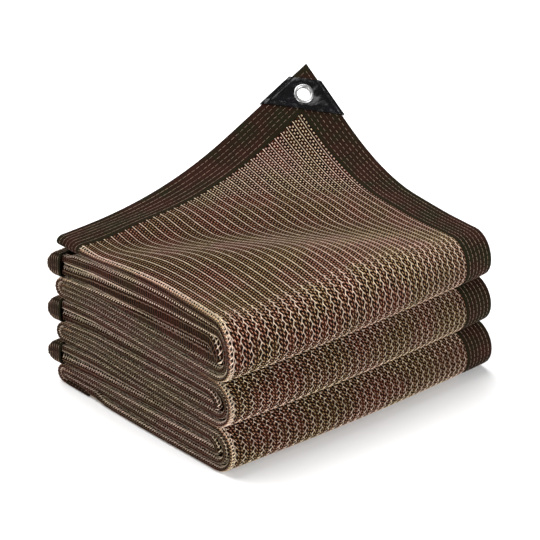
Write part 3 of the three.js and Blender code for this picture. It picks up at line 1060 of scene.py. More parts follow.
def finish_piece(
    bm: Mesh,
    name: str,
    material: Material,
    placer: Placer,
    fields: dict[str, Placer] | None = None,
) -> Piece:
    """Turns a flat plan into a finished piece of the pack.

    The flat place of each corner stays as the UV map "flat", in metres.

    Args:
        bm: the flat plan, in millimetres; it is used up.
        name: the piece's name.
        material: its finish.
        placer: what carries the plan's points to their places.
        fields: more facts to keep on the points, each worked out from their flat places.

    Returns:
        The piece, its object at the origin.
    """
    mesh = as_mesh(bm, name)
    flat = np.empty(len(mesh.vertices) * 3)
    mesh.vertices.foreach_get("co", flat)
    flat = flat.reshape(-1, 3)
    corners = np.empty(len(mesh.loops), dtype=np.int32)
    mesh.loops.foreach_get("vertex_index", corners)
    layer = mesh.uv_layers.new(name="flat")
    layer.data.foreach_set("uv", (flat[corners, :2] * MM).ravel())
    for field_name, work_out in (fields or {}).items():
        attribute = mesh.attributes.new(field_name, "FLOAT", "POINT")
        attribute.data.foreach_set("value", work_out(flat).astype(np.float32))
    mesh.vertices.foreach_set("co", placer(flat).ravel())
    mesh.polygons.foreach_set("use_smooth", [True] * len(mesh.polygons))
    mesh.materials.append(material)
    mesh.update()
    piece = put(name, mesh)
    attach(piece, BODY)
    return piece


def face_outwards(piece: Piece) -> None:
    """Turns the faces of a piece's closed shells outwards."""
    bm = bmesh.new()
    bm.from_mesh(piece.data)
    bmesh.ops.recalc_face_normals(bm, faces=bm.faces)
    bm.to_mesh(piece.data)
    bm.free()


def solidified(piece: Piece, thickness: float) -> None:
    """Gives an open sheet its thickness, evenly on both sides, in millimetres.

    Args:
        piece: the sheet.
        thickness: its thickness.
    """
    modifier = piece.modifiers.new("thickness", "SOLIDIFY")
    modifier.thickness = thickness * MM
    modifier.offset = 0.0
    modifier.use_even_offset = False


def report(piece: Piece) -> None:
    """Logs a piece and how many faces it has."""
    LOG.info("%s: %d faces", piece.name, len(piece.data.polygons))


# ------------------------------------------------------------------ the knitted net


@dataclass(frozen=True)
class Band:
    """A stretch of the net that shows, and so has its yarns drawn.

    Attributes:
        name: what the stretch is called.
        leaf: the leaf whose outer face shows.
        start: the way at which it starts, in millimetres.
        end: the way at which it ends.
    """

    name: str
    leaf: Leaf
    start: float
    end: float

    @property
    def length(self) -> float:
        """Length of the stretch."""
        return self.end - self.start


def shown_bands(route: FoldedRoute) -> list[Band]:
    """Lists the stretches of the net that show: the top, the fronts and the rear lobes.

    Args:
        route: the way of the doubled net.

    Returns:
        The stretches, from the top down.
    """
    m = route.marks
    past_front, before_front, past_lobe = 8, 30, 14
    bands = [Band("top", Leaf.OUTER, m["top seam"] + 0.5, m["0 outer front end"] + past_front)]
    for packet in range(1, SIZES.packets):
        start = m[f"{packet} outer front start"] - before_front
        end = m[f"{packet} outer front end"] + past_front
        bands.append(Band(f"front_{packet + 1}", Leaf.OUTER, start, end))
    for packet in range(SIZES.packets):
        for lobe, leaf in (("inner lobe", Leaf.OUTER), ("outer lobe", Leaf.INNER)):
            start, end = m[f"{packet} {lobe} start"], m[f"{packet} {lobe} end"]
            name = f"{lobe.replace(' ', '_')}_{packet + 1}"
            bands.append(Band(name, leaf, start - past_lobe, end + past_lobe))
    return bands


@dataclass(frozen=True)
class KnotShape:
    """A small raised loop: its slant, half its length and half its thickness, in millimetres."""

    slant: float
    half: float
    radius: float


@dataclass
class KnittedNet:
    """The knitted panel: its ground, wales, the small loops between them and its doubled edge.

    Sizes are in millimetres, and a radius is half a yarn's thickness.

    Attributes:
        swing_top, swing_front: how far a wale swings to each side on the top and on the fronts.
        front_blend: how far before the outer front the wales start to swing, and over what run.
        wale_height, wale_lift: height of a wale, and what it gains where it turns.
        hook: how far a hook reaches to the side and ahead, and how far it dips.
        hook_yarn: a hook's radius, as a share of the wale's.
        hook_from: share of the front's swing from which a wale has hooks.
        knot_parts: places of the small loops between two wales, as shares of the pitch.
        knot_top, knot_front: the small loops' shapes on the top and on the fronts.
        knot_height, knot_dip: height of a small loop's middle, and how far its ends dip.
        tiers: radii of the fuller loops, from the bend towards the raised corner.
        tier_step: distance across the bend from one of these radii to the next.
        tier_height, tier_share: height of a fuller loop, and what it gains for its radius.
        tier_slant, tier_dip: slant of a fuller loop, and how far its ends dip.
        outer_chains, inner_chains: the chains of the doubled edge, each with its place across
            the cloth and its radius.
        stout: radius above which a chain is drawn with four sides in place of three.
        chain_swing, chain_height: a chain's swing as a share of its radius, and its height.
        tooth, tooth_radius, tooth_step: the slanting threads beside the chains.
        stroke, stroke_radius: the fine slanting threads in the middle of the edge.
        edge_lead, edge_spare: way left free before these threads, and before and after them.
    """

    plan: FoldPlan
    wales: int = 34
    loop: float = 7.4
    swing_top: float = 0.12
    swing_front: float = 1.2
    front_blend: tuple[float, float] = (30.0, 60.0)
    yarn: float = 0.47
    wale_height: float = 0.68
    wale_lift: float = 0.22
    hook: tuple[float, float, float] = (1.4, 1.9, 0.5)
    hook_yarn: float = 0.75
    hook_from: float = 0.3
    knot_parts: tuple[float, float] = (5 / 6, 1 / 6)
    knot_top: KnotShape = KnotShape(0.1, 0.75, 0.54)
    knot_front: KnotShape = KnotShape(0.5, 1.05, 0.48)
    knot_height: float = 0.86
    knot_dip: float = 0.35
    tiers: tuple[float, ...] = (0.54, 0.60, 0.66, 0.72, 0.76, 0.80)
    tier_step: float = 12.0
    tier_height: float = 0.3
    tier_share: float = 0.88
    tier_slant: float = 0.1
    tier_dip: float = 0.3
    outer_chains: tuple[tuple[float, float], ...] = (
        (4.3, 0.52),
        (2.2, 0.2),
        (-2.2, 0.2),
        (-4.3, 0.52),
    )
    inner_chains: tuple[tuple[float, float], ...] = ((0.8, 0.13), (-0.8, 0.13))
    stout: float = 0.3
    chain_swing: float = 0.55
    chain_height: float = 0.48
    tooth: Path = ((4.2, 0.0, 0.62), (2.6, 1.1, 0.62), (1.4, 1.9, 0.4))
    tooth_radius: float = 0.5
    tooth_step: float = 3.8
    stroke: Path = ((1.5, 0.0, 0.36), (0.0, 0.7, 0.36), (-1.5, 1.4, 0.36))
    stroke_radius: float = 0.34
    edge_lead: float = 1.0
    edge_spare: float = 6.0
    ground_thickness: float = 1.1
    lap: float = 3.0
    ground: GroundFinish = GroundFinish()
    bright: YarnFinish = YarnFinish()
    soft: YarnFinish = YarnFinish(
        "knot_yarn", (0.52, 0.31, 0.18), (0.54, 0.29, 0.19), (0.50, 0.32, 0.16), 0.6
    )
    full: YarnFinish = YarnFinish(
        "raised_yarn", (0.78, 0.56, 0.42), (0.80, 0.53, 0.42), (0.75, 0.57, 0.38), 0.6
    )
    dim: YarnFinish = YarnFinish(
        "edge_yarn", (0.20, 0.12, 0.078), (0.21, 0.11, 0.078), (0.19, 0.125, 0.07), 0.7
    )

    def build(self) -> list[Piece]:
        ground = self._ground()
        bright, soft = self.bright.material(), self.soft.material()
        yarns = []
        for band in shown_bands(self.plan.route):
            yarns.append(self._wales(band, bright))
            yarns.append(self._knots(band, soft))
            if band.name == "top":
                yarns.append(self._raised_knots(band, self.full.material()))
        dim = self.dim.material()
        teeth = [[(side * x, y, h) for x, y, h in self.tooth] for side in (1, -1)]
        yarns.append(self._edge_chains("edge_chains", self.outer_chains, bright))
        yarns.append(self._edge_marks("edge_teeth", teeth, self.tooth_radius, bright))
        yarns.append(self._edge_chains("inner_edge_chains", self.inner_chains, dim))
        yarns.append(self._edge_marks("edge_strokes", [self.stroke], self.stroke_radius, dim))
        return [ground, *yarns]

    @property
    def span(self) -> tuple[float, float]:
        """Where the knitted panel starts along the route, and its length."""
        marks = self.plan.route.marks
        return marks["top seam"], marks["tail seam"] - marks["top seam"]

    @property
    def pitch(self) -> float:
        """Distance from one wale to the next."""
        return self.plan.panel_half / self.wales

    def _ground(self) -> Piece:
        """Builds the ground over the whole route, doubled at the left side."""
        half, arc = self.plan.panel_half + self.lap, self.plan.round_arc
        columns = both_leaves(np.linspace(arc, half, 19), np.linspace(-arc, arc, 7))
        marks, way = self.plan.route.marks, self.plan.route.way
        first, last = marks["top seam"], marks["tail seam"]
        inside = way[(way > first) & (way < last)]
        rows = np.concatenate([[first - self.lap], inside, [last + self.lap]])
        bm = flat_sheet(columns, rows)
        piece = finish_piece(bm, "net_ground", self.ground.material(), self.plan.place)
        piece.data.flip_normals()
        solidified(piece, self.ground_thickness)
        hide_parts("net_panel")
        return piece

    def _looped(self, band: Band, way: float) -> float:
        """How much the knitting has the fronts' shape: 0 on the top and 1 on the fronts."""
        before, run = self.front_blend
        crest = self.plan.route.marks["0 outer front start"]
        return 1.0 if band.name != "top" else float(smooth((way - crest + before) / run))

    def _wales(self, band: Band, material: Material) -> Piece:
        """Draws the wales of a band, each a chain of loops that swings from side to side.

        Args:
            band: the stretch of the net.
            material: the yarn's finish.

        Returns:
            The wales, folded into the pack.
        """
        bm = bmesh.new()
        count = round(band.length / self.loop) * 4
        path, hooks = [], bmesh.new()
        for i in range(count + 1):
            way = band.start + band.length * i / count
            turn = (0.0, 1.0, 0.0, -1.0)[i % 4]
            looped = self._looped(band, way)
            swing = mix(self.swing_top, self.swing_front, looped)
            path.append((turn * swing, way, self.wale_height + self.wale_lift * abs(turn)))
            if turn and looped > self.hook_from and 0 < i < count - 1:
                lay(hooks, self._hook(path[i], turn))
        pattern = thread(path, self.yarn)
        lay(pattern, hooks)
        places = [(k + 0.5) * self.pitch for k in range(self.wales)]
        lay(bm, pattern, self._shifts(band, places))
        return self._yarn_piece(bm, f"wales_{band.name}", material)

    def _shifts(self, band: Band, places: Iterable[float]) -> list[Vector]:
        """Shifts to some places across a band's leaf."""
        return [Vector((band.leaf.value * x, 0, 0)) for x in places]

    def _hook(self, start: tuple[float, float, float], turn: float) -> Mesh:
        """Draws the short thread that leaves a wale where it turns, and dips into the ground.

        Args:
            start: where it leaves the wale.
            turn: the side to which it goes, 1 or -1.

        Returns:
            The thread.
        """
        reach, ahead, dip = self.hook
        path = bowed(start, (turn * reach, ahead, dip), (-0.1, 0.5, 1.0))
        return thread(path, self.yarn * self.hook_yarn)

    def _knots(self, band: Band, material: Material) -> Piece:
        """Draws the small raised loops that stand in staggered rows between the wales.

        Args:
            band: the stretch of the net.
            material: the yarn's finish.

        Returns:
            The loops, folded into the pack.
        """
        bm = bmesh.new()
        step = self.loop / 2
        for phase, part in enumerate(self.knot_parts):
            pattern = bmesh.new()
            for i in range(int(band.length / step)):
                way = band.start + (i + 0.5 + 0.5 * phase) * step
                lay(pattern, self._knot(way, band))
            places = [(k + part) * self.pitch for k in range(self.wales)]
            lay(bm, pattern, self._shifts(band, places))
        return self._yarn_piece(bm, f"knots_{band.name}", material)

    def _knot(self, way: float, band: Band) -> Mesh:
        """Draws one small raised loop: a dot on the top, a short stroke on the fronts.

        Args:
            way: where it stands along the route.
            band: the stretch of the net.

        Returns:
            The loop.
        """
        looped, top, front = self._looped(band, way), self.knot_top, self.knot_front
        slant, half = mix(top.slant, front.slant, looped), mix(top.half, front.half, looped)
        path = bowed((0, way, self.knot_height), (slant, half, self.knot_dip), (-1, 0, 1))
        return thread(path, float(mix(top.radius, front.radius, looped)), 3)

    def _raised_knots(self, band: Band, material: Material) -> Piece:
        """Draws the fuller loops of the raised corner, where the net is drawn tight.

        Args:
            band: the stretch of the net.
            material: the yarn's finish.

        Returns:
            The loops, folded into the pack.
        """
        bm = bmesh.new()
        step, shape = self.loop / 2, self.plan.shape
        for row in range(int(band.length / step) * 2):
            way = band.start + 0.5 * (row + 1) * step
            y = float(self.plan.route.at(np.array([way]))[0][0])
            places = [(k + self.knot_parts[row % 2]) * self.pitch for k in range(self.wales)]
            for tier, radius in enumerate(self.tiers):
                past = shape.bend_start + self.tier_step * (tier - 1) - shape.bend[1] * y
                first, last = past / shape.bend[0], (past + self.tier_step) / shape.bend[0]
                if tier == len(self.tiers) - 1:
                    last = math.inf
                shifts = self._shifts(band, [x for x in places if first < x <= last])
                if shifts:
                    lay(bm, self._raised_knot(way, radius), shifts)
        return self._yarn_piece(bm, f"raised_knots_{band.name}", material)

    def _raised_knot(self, way: float, radius: float) -> Mesh:
        """Draws one of the fuller loops."""
        height = self.tier_height + self.tier_share * radius
        path = bowed((0, way, height), (self.tier_slant, radius, self.tier_dip), (-1, 0, 1))
        return thread(path, radius, 3)

    def _edge_chains(
        self, name: str, chains: tuple[tuple[float, float], ...], material: Material
    ) -> Piece:
        """Draws chains that run along the doubled edge of every layer.

        Args:
            name: the piece's name.
            chains: for each chain, its place across the cloth and half its thickness.
            material: what it is made of.

        Returns:
            The chains, folded into the pack.
        """
        bm = bmesh.new()
        start, length = self.span
        count = round(length / self.loop) * 2
        for across, radius in chains:
            path = []
            for i in range(count + 1):
                swing = self.chain_swing * radius * (1.0 if i % 2 else -1.0)
                way = start + length * i / count
                path.append((across + swing, way, self.chain_height + radius / 2))
            lay(bm, thread(path, radius, 4 if radius > self.stout else 3))
        return self._yarn_piece(bm, name, material)

    def _edge_marks(
        self, name: str, marks: Sequence[Path], radius: float, material: Material
    ) -> Piece:
        """Draws short threads, one after the other, all the way along the doubled edge.

        Args:
            name: the piece's name.
            marks: the threads that stand side by side, each from the panel's start.
            radius: half their thickness.
            material: what they are made of.

        Returns:
            The threads, folded into the pack.
        """
        bm = bmesh.new()
        start, length = self.span
        count = int((length - self.edge_spare) / self.tooth_step)
        shifts = [Vector((0, i * self.tooth_step, 0)) for i in range(count)]
        for mark in marks:
            path = [(x, start + self.edge_lead + y, h) for x, y, h in mark]
            lay(bm, thread(path, radius, 3), shifts)
        return self._yarn_piece(bm, name, material)

    def _yarn_piece(self, bm: Mesh, name: str, material: Material) -> Piece:
        """Folds some yarns into the pack."""
        piece = finish_piece(bm, name, material, self.plan.place)
        piece.data.flip_normals()
        return piece


def both_leaves(leaf: np.ndarray, rounds: np.ndarray) -> np.ndarray:
    """Places across the whole cut cloth, from those of one leaf and of the doubled edge."""
    return np.concatenate([-leaf[:0:-1], rounds, leaf[1:]])


def flat_sheet(columns: np.ndarray, rows: np.ndarray) -> Mesh:
    """Makes a flat grid whose lines stand at the given places.

    Args:
        columns: the places of its lines across the plan.
        rows: the places of its lines along the plan.

    Returns:
        The grid, face up on the plan.
    """
    bm = bmesh.new()
    bmesh.ops.create_grid(bm, x_segments=len(columns) - 1, y_segments=len(rows) - 1, size=0.5)
    for vert in bm.verts:
        i = round((vert.co.x + 0.5) * (len(columns) - 1))
        j = round((vert.co.y + 0.5) * (len(rows) - 1))
        vert.co = (columns[i], rows[j], 0)
    return bm


# ------------------------------------------------------------------ bindings and their stitches


@dataclass(frozen=True)
class StitchRows:
    """Even rows of running stitches; sizes in millimetres.

    Attributes:
        first: distance of the first row from the tape's inner edge.
        spacing: distance between the rows.
        rows: how many there are.
        stitch: length of the thread that shows in each stitch.
        step: length of a whole stitch.
        thread: half the thickness of the thread.
        rise, dip: height of a stitch over the tape, and how far its ends dip.
    """

    first: float = 5.0
    spacing: float = 5.4
    rows: int = 6
    stitch: float = 4.4
    step: float = 6.2
    thread: float = 0.3
    rise: float = 0.25
    dip: float = 0.4

    def from_edge(self) -> list[float]:
        """Distances of the rows from the tape's outer edge."""
        return [SIZES.binding - self.first - self.spacing * i for i in range(self.rows)]

    def sew(self, bm: Mesh, start: Vector, end: Vector, height: float) -> None:
        """Sews one row between two places of the flat plan, along either of its axes.

        Args:
            bm: where the stitches go.
            start: where the row starts.
            end: where it ends.
            height: the height of the tape's face over the middle of the cloth.
        """
        along = (end - start).normalized()
        path = []
        for share in (0.0, 0.2, 0.8, 1.0):
            dip = self.dip if share in (0.0, 1.0) else 0.0
            point = start + along * self.stitch * share
            path.append((point.x, point.y, height + self.rise - dip))
        count = int(((end - start).length - self.stitch) / self.step)
        lay(bm, thread(path, self.thread, 3), [along * self.step * i for i in range(count + 1)])


@dataclass
class Bindings:
    """The tape along all edges of the net, with its rows of stitches.

    Attributes:
        round_from, round_to: places across between which the top's rows go round the doubled
            edge in short stitches.
        tail_reach: how far the tail's rows go on each side of the doubled edge.
        close_stitches, side_stitches, round_stitches: the stitches of the top, of the sides and
            of the doubled edge.
    """

    plan: FoldPlan
    thickness: float = 1.7
    edge_round: float = 0.6
    round_from: float = -30.0
    round_to: float = 13.0
    tail_reach: float = 30.0
    stitches: StitchRows = StitchRows()
    close_stitches: StitchRows = StitchRows(stitch=6.7, step=6.9, thread=0.26)
    side_stitches: StitchRows = StitchRows(stitch=3.6, step=4.8, thread=0.26)
    round_stitches: StitchRows = StitchRows(stitch=3.1, step=3.3, thread=0.3)
    tape: BindingFinish = BindingFinish()
    sewing: StitchFinish = StitchFinish()

    def build(self, corner: "CornerPlan") -> list[Piece]:
        """Args:
            corner: the plan of the raised corner, where the eyelet's hole is.

        Returns:
            The bindings and their stitches.
        """
        material, sewing = self.tape.material(), self.sewing.material()
        pieces = []
        for leaf in Leaf:
            side, rows = self._side(leaf, material), self._side_stitches(leaf, sewing)
            pieces += [side, rows]
        for name, rests in (("top", "net_ground"), ("tail", "floor")):
            end = self._end(name, material)
            if name == "top":
                rows = self._top_stitches(sewing)
                corner.pierce(end)
            else:
                rows = self._tail_stitches(sewing)
            pieces += [end, rows]
        return pieces

    def _tape(self, bm: Mesh, name: str, material: Material, rim: Placer) -> Piece:
        """Folds one flat tape and gives it its thickness.

        Args:
            bm: the flat tape; it is used up.
            name: the piece's name.
            material: its finish.
            rim: distance of each point from the tape's inner edge.

        Returns:
            The tape.
        """
        piece = finish_piece(bm, name, material, self.plan.place, {"rim": rim})
        piece.data.flip_normals()
        solidified(piece, self.thickness)
        bevel = piece.modifiers.new("soft_edge", "BEVEL")
        bevel.width = self.edge_round * MM
        bevel.segments = 2
        bevel.limit_method = "ANGLE"
        bevel.angle_limit = math.radians(60)
        return piece

    def _side(self, leaf: Leaf, material: Material) -> Piece:
        """Builds the binding of one leaf's long edge.

        Args:
            leaf: the leaf.
            material: the tape's finish.

        Returns:
            The binding.
        """
        marks, way = self.plan.route.marks, self.plan.route.way
        inner, outer = self.plan.half_width - SIZES.binding, self.plan.half_width
        columns = np.sort(np.linspace(inner, outer, 6) * leaf.value)
        bm = flat_sheet(columns, way[(way >= marks["top seam"]) & (way <= marks["tail seam"])])
        name = f"side_tape_{leaf.name.lower()}"
        piece = self._tape(bm, name, material, lambda flat: np.abs(flat[:, 0]) - inner)
        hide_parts(f"side_binding_{leaf.name.lower()}")
        return piece

    def _end(self, name: str, material: Material) -> Piece:
        """Builds the binding of the top end or of the tail end.

        Args:
            name: top or tail.
            material: the tape's finish.

        Returns:
            The binding.
        """
        marks, arc = self.plan.route.marks, self.plan.round_arc
        seam = marks[f"{name} seam"]
        first, last = sorted((marks[f"{name} end"], seam))
        leaf = np.linspace(arc, self.plan.half_width, 22)
        bm = flat_sheet(both_leaves(leaf, np.linspace(-arc, arc, 9)), np.linspace(first, last, 8))
        piece = self._tape(bm, f"end_tape_{name}", material, lambda flat: np.abs(flat[:, 1] - seam))
        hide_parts(f"end_binding_{name}")
        return piece

    def _side_stitches(self, leaf: Leaf, material: Material) -> Piece:
        """Sews the rows along one leaf's long edge, wherever they show.

        Args:
            leaf: the leaf.
            material: the thread's finish.

        Returns:
            The stitches.
        """
        bm = bmesh.new()
        for band in shown_bands(self.plan.route):
            if band.leaf is not leaf:
                continue
            for edge in self.stitches.from_edge():
                across = leaf.value * (self.plan.half_width - edge)
                start = Vector((across, edge if band.name == "top" else band.start, 0))
                end = Vector((across, band.end, 0))
                self.side_stitches.sew(bm, start, end, self.thickness / 2)
        return self._sewn(bm, f"side_stitches_{leaf.name.lower()}", material)

    def _top_stitches(self, material: Material) -> Piece:
        """Sews the rows along the top end, round the doubled edge and up to the mitred corner.

        Args:
            material: the thread's finish.

        Returns:
            The stitches.
        """
        bm = bmesh.new()
        for edge in self.stitches.from_edge():
            start, turned, end = (
                Vector((across, edge, 0))
                for across in (self.round_from, self.round_to, self.plan.half_width - edge)
            )
            self.round_stitches.sew(bm, start, turned, self.thickness / 2)
            self.close_stitches.sew(bm, turned, end, self.thickness / 2)
        return self._sewn(bm, "end_stitches_top", material)

    def _tail_stitches(self, material: Material) -> Piece:
        """Sews the rows of the tail end, round the doubled edge.

        Args:
            material: the thread's finish.

        Returns:
            The stitches.
        """
        bm = bmesh.new()
        tail = self.plan.route.marks["tail end"]
        for edge in self.stitches.from_edge():
            start, end = (
                Vector((across, tail - edge, 0)) for across in (-self.tail_reach, self.tail_reach)
            )
            self.stitches.sew(bm, start, end, self.thickness / 2)
        return self._sewn(bm, "end_stitches_tail", material)

    def _sewn(self, bm: Mesh, name: str, material: Material) -> Piece:
        """Folds some stitches into the pack.

        Args:
            bm: the stitches on the flat plan; they are used up.
            name: the piece's name.
            material: the thread's finish.

        Returns:
            The stitches.
        """

        def unfanned(flat: np.ndarray) -> np.ndarray:
            """Folds points without the wales' spread."""
            return self.plan.place(flat, fan=False)

        piece = finish_piece(bm, name, material, unfanned)
        piece.data.flip_normals()
        return piece


# ------------------------------------------------------------------ cross tapes on the rear folds


@dataclass
class FoldTape:
    """The tape sewn across the net where a rear fold turns, closed round at the doubled edge.

    Its flat plan runs across the pack, round the turn and up from the tape's middle.

    Attributes:
        round_end: how much of it closes round at the doubled edge.
        pull: share of its radius by which the closed end is drawn in.
        clear: room between its middle and the net.
        even_from: place across from which its grid is even.
    """

    packet: int
    shape: PackShape
    reach: float = 10.0
    round_end: float = 6.0
    pull: float = 0.3
    thickness: float = 1.2
    clear: float = 1.65
    sag: float = 2.0
    overhang: float = 2.5
    even_from: float = 14.0
    rows: tuple[float, ...] = (1.5, 5.2, 9.0, 12.8, 16.5, 20.0)
    row_end: float = 2.0
    stitches: StitchRows = StitchRows(stitch=4.6, step=4.9, thread=0.4)

    def __post_init__(self) -> None:
        """Works out the turn that the tape goes round."""
        ear = next(turn for turn in TURNS if turn.name == "ear")
        drop = SIZES.stack - self.packet * SIZES.packet_height
        high, low = drop + LAYERS["b"][1], drop + LAYERS["c"][1]
        self.centre_z = (high + low) / 2
        turn_radius = (high - low) / 2
        self.centre_y = ear.tip - turn_radius
        self.radius = turn_radius + SIZES.half + self.clear
        self.half_arc = self.radius * math.pi / 2
        self.half_length = self.half_arc + self.reach

    def place(self, flat: np.ndarray) -> np.ndarray:
        """Carries points of the flat plan round the turn.

        Args:
            flat: one row for each point, in millimetres.

        Returns:
            The points in metres.
        """
        across, along, height = flat.T
        angle = np.clip(along / self.radius, -math.pi / 2, math.pi / 2)
        radius = self.radius + height
        straight = np.maximum(0, np.abs(along) - self.half_arc)
        y = self.centre_y + radius * np.cos(angle) - straight
        closing = np.clip(across / self.round_end, 0, 1)
        squeeze = np.sqrt(1 - (1 - closing) ** 4)
        y = y - self.radius * np.cos(angle) * self.pull * (1 - squeeze)
        z = self.centre_z + radius * np.sin(angle) * squeeze - self.sag * np.cos(angle)
        x = across - self.overhang - height * (1 - closing)
        none = np.zeros_like(across)
        return self.shape.settle(x, y, z, none, none, none, none)

    def build(self, material: Material, sewing: Material) -> list[Piece]:
        """Args:
            material: the tape's finish.
            sewing: the thread's finish.

        Returns:
            The tape and its stitches.
        """
        number = self.packet + 1
        rounded = self.round_end * np.linspace(0, 1, 10) ** 2
        even = np.linspace(self.even_from, SIZES.width + self.overhang, 18)
        along = np.linspace(-self.half_length, self.half_length, 25)
        bm = flat_sheet(np.concatenate([rounded, even]), along)
        rim = {"rim": lambda flat: self.half_length - np.abs(flat[:, 1])}
        piece = finish_piece(bm, f"cross_tape_{number}", material, self.place, rim)
        solidified(piece, self.thickness)
        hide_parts(f"fold_tape_{number}")
        rows = self._rows(sewing)
        return [piece, rows]

    def _rows(self, sewing: Material) -> Piece:
        """Sews the rows that run across the net and round its doubled edge.

        Args:
            sewing: the thread's finish.

        Returns:
            The stitches.
        """
        bm = bmesh.new()
        end = SIZES.width + self.overhang - self.row_end
        for row in self.rows:
            bent = self.radius * math.acos(max(0.0, 1 - row / self.radius))
            along = bent + max(0.0, row - self.radius)
            for side in (1, -1):
                start, stop = Vector((0.0, side * along, 0)), Vector((end, side * along, 0))
                self.stitches.sew(bm, start, stop, self.thickness / 2)
        name = f"cross_tape_stitches_{self.packet + 1}"
        return finish_piece(bm, name, sewing, self.place)


# ------------------------------------------------------------------ the raised corner


@dataclass
class CornerPlan:
    """The raised corner's own plane, which is flat as far as the patch and the eyelet reach.

    Its plan runs from the tip along the middle line, across it, and up from the cloth's middle.
    """

    shape: PackShape
    near: float = 25.0
    far: float = 73.0
    hole: float = 9.0
    hole_depth: float = 20.0
    probe: float = 10.0

    def __post_init__(self) -> None:
        """Finds the plane from three points of the corner."""
        level = SIZES.stack + SIZES.half + SIZES.leaf_middle
        places = ((0, 0), (-self.probe, 0), (0, -self.probe))
        tip, back, side = (self._at(x, y, level) for x, y in places)
        back, side = (back - tip).normalized(), (side - tip).normalized()
        normal = back.cross(side).normalized()
        middle = (back + side).normalized()
        across = normal.cross(middle)
        self.half_angle = back.angle(side) / 2
        axes = Matrix((middle, across, normal)).transposed()
        self.matrix = Matrix.Translation(tip) @ axes.to_4x4()
        self.patch_near = self.near * math.cos(self.half_angle)
        self.patch_far = self.far * math.cos(self.half_angle)
        self.eyelet = (self.patch_near + self.patch_far) / 2

    def _at(self, x: float, y: float, z: float) -> Vector:
        """A point of the raised leaf, from its distances to the corner."""
        point = (np.array([SIZES.width + x]), np.array([SIZES.top_end + y]), np.array([z]))
        one, none = np.ones(1), np.zeros(1)
        return Vector(self.shape.settle(*point, one, one, none, none)[0])

    def place(self, flat: np.ndarray) -> np.ndarray:
        """Carries points of the plan to the raised corner."""
        turn = np.array(self.matrix.to_3x3())
        return (flat * MM) @ turn.T + np.array(self.matrix.translation)

    def pierce(self, piece: Piece) -> None:
        """Cuts the eyelet's hole through a finished piece.

        Args:
            piece: the piece; its modifiers are applied.
        """
        bm = bmesh.new()
        bmesh.ops.create_cone(
            bm,
            cap_ends=True,
            segments=48,
            radius1=self.hole * MM,
            radius2=self.hole * MM,
            depth=self.hole_depth * MM,
            matrix=self.matrix @ Matrix.Translation((self.eyelet * MM, 0, 0)),
        )
        cutter = put("hole_cutter", as_mesh(bm, "hole_cutter"))
        cut = piece.modifiers.new("eyelet_hole", "BOOLEAN")
        cut.object = cutter
        cut.operation = "DIFFERENCE"
        cut.solver = "EXACT"
        bpy.context.view_layer.update()
        evaluated = piece.evaluated_get(bpy.context.evaluated_depsgraph_get())
        made = bpy.data.meshes.new_from_object(evaluated)
        piece.modifiers.clear()
        piece.data = made
        bpy.data.objects.remove(cutter)


@dataclass(frozen=True)
class Seam:
    """A long raised or sunk line beside an edge: its height, its middle and its half width."""

    height: float
    middle: float
    width: float

    def at(self, distance: float) -> float:
        """Height of the line at some distance from the edge."""
        return self.height * math.exp(-(((distance - self.middle) / self.width) ** 2))


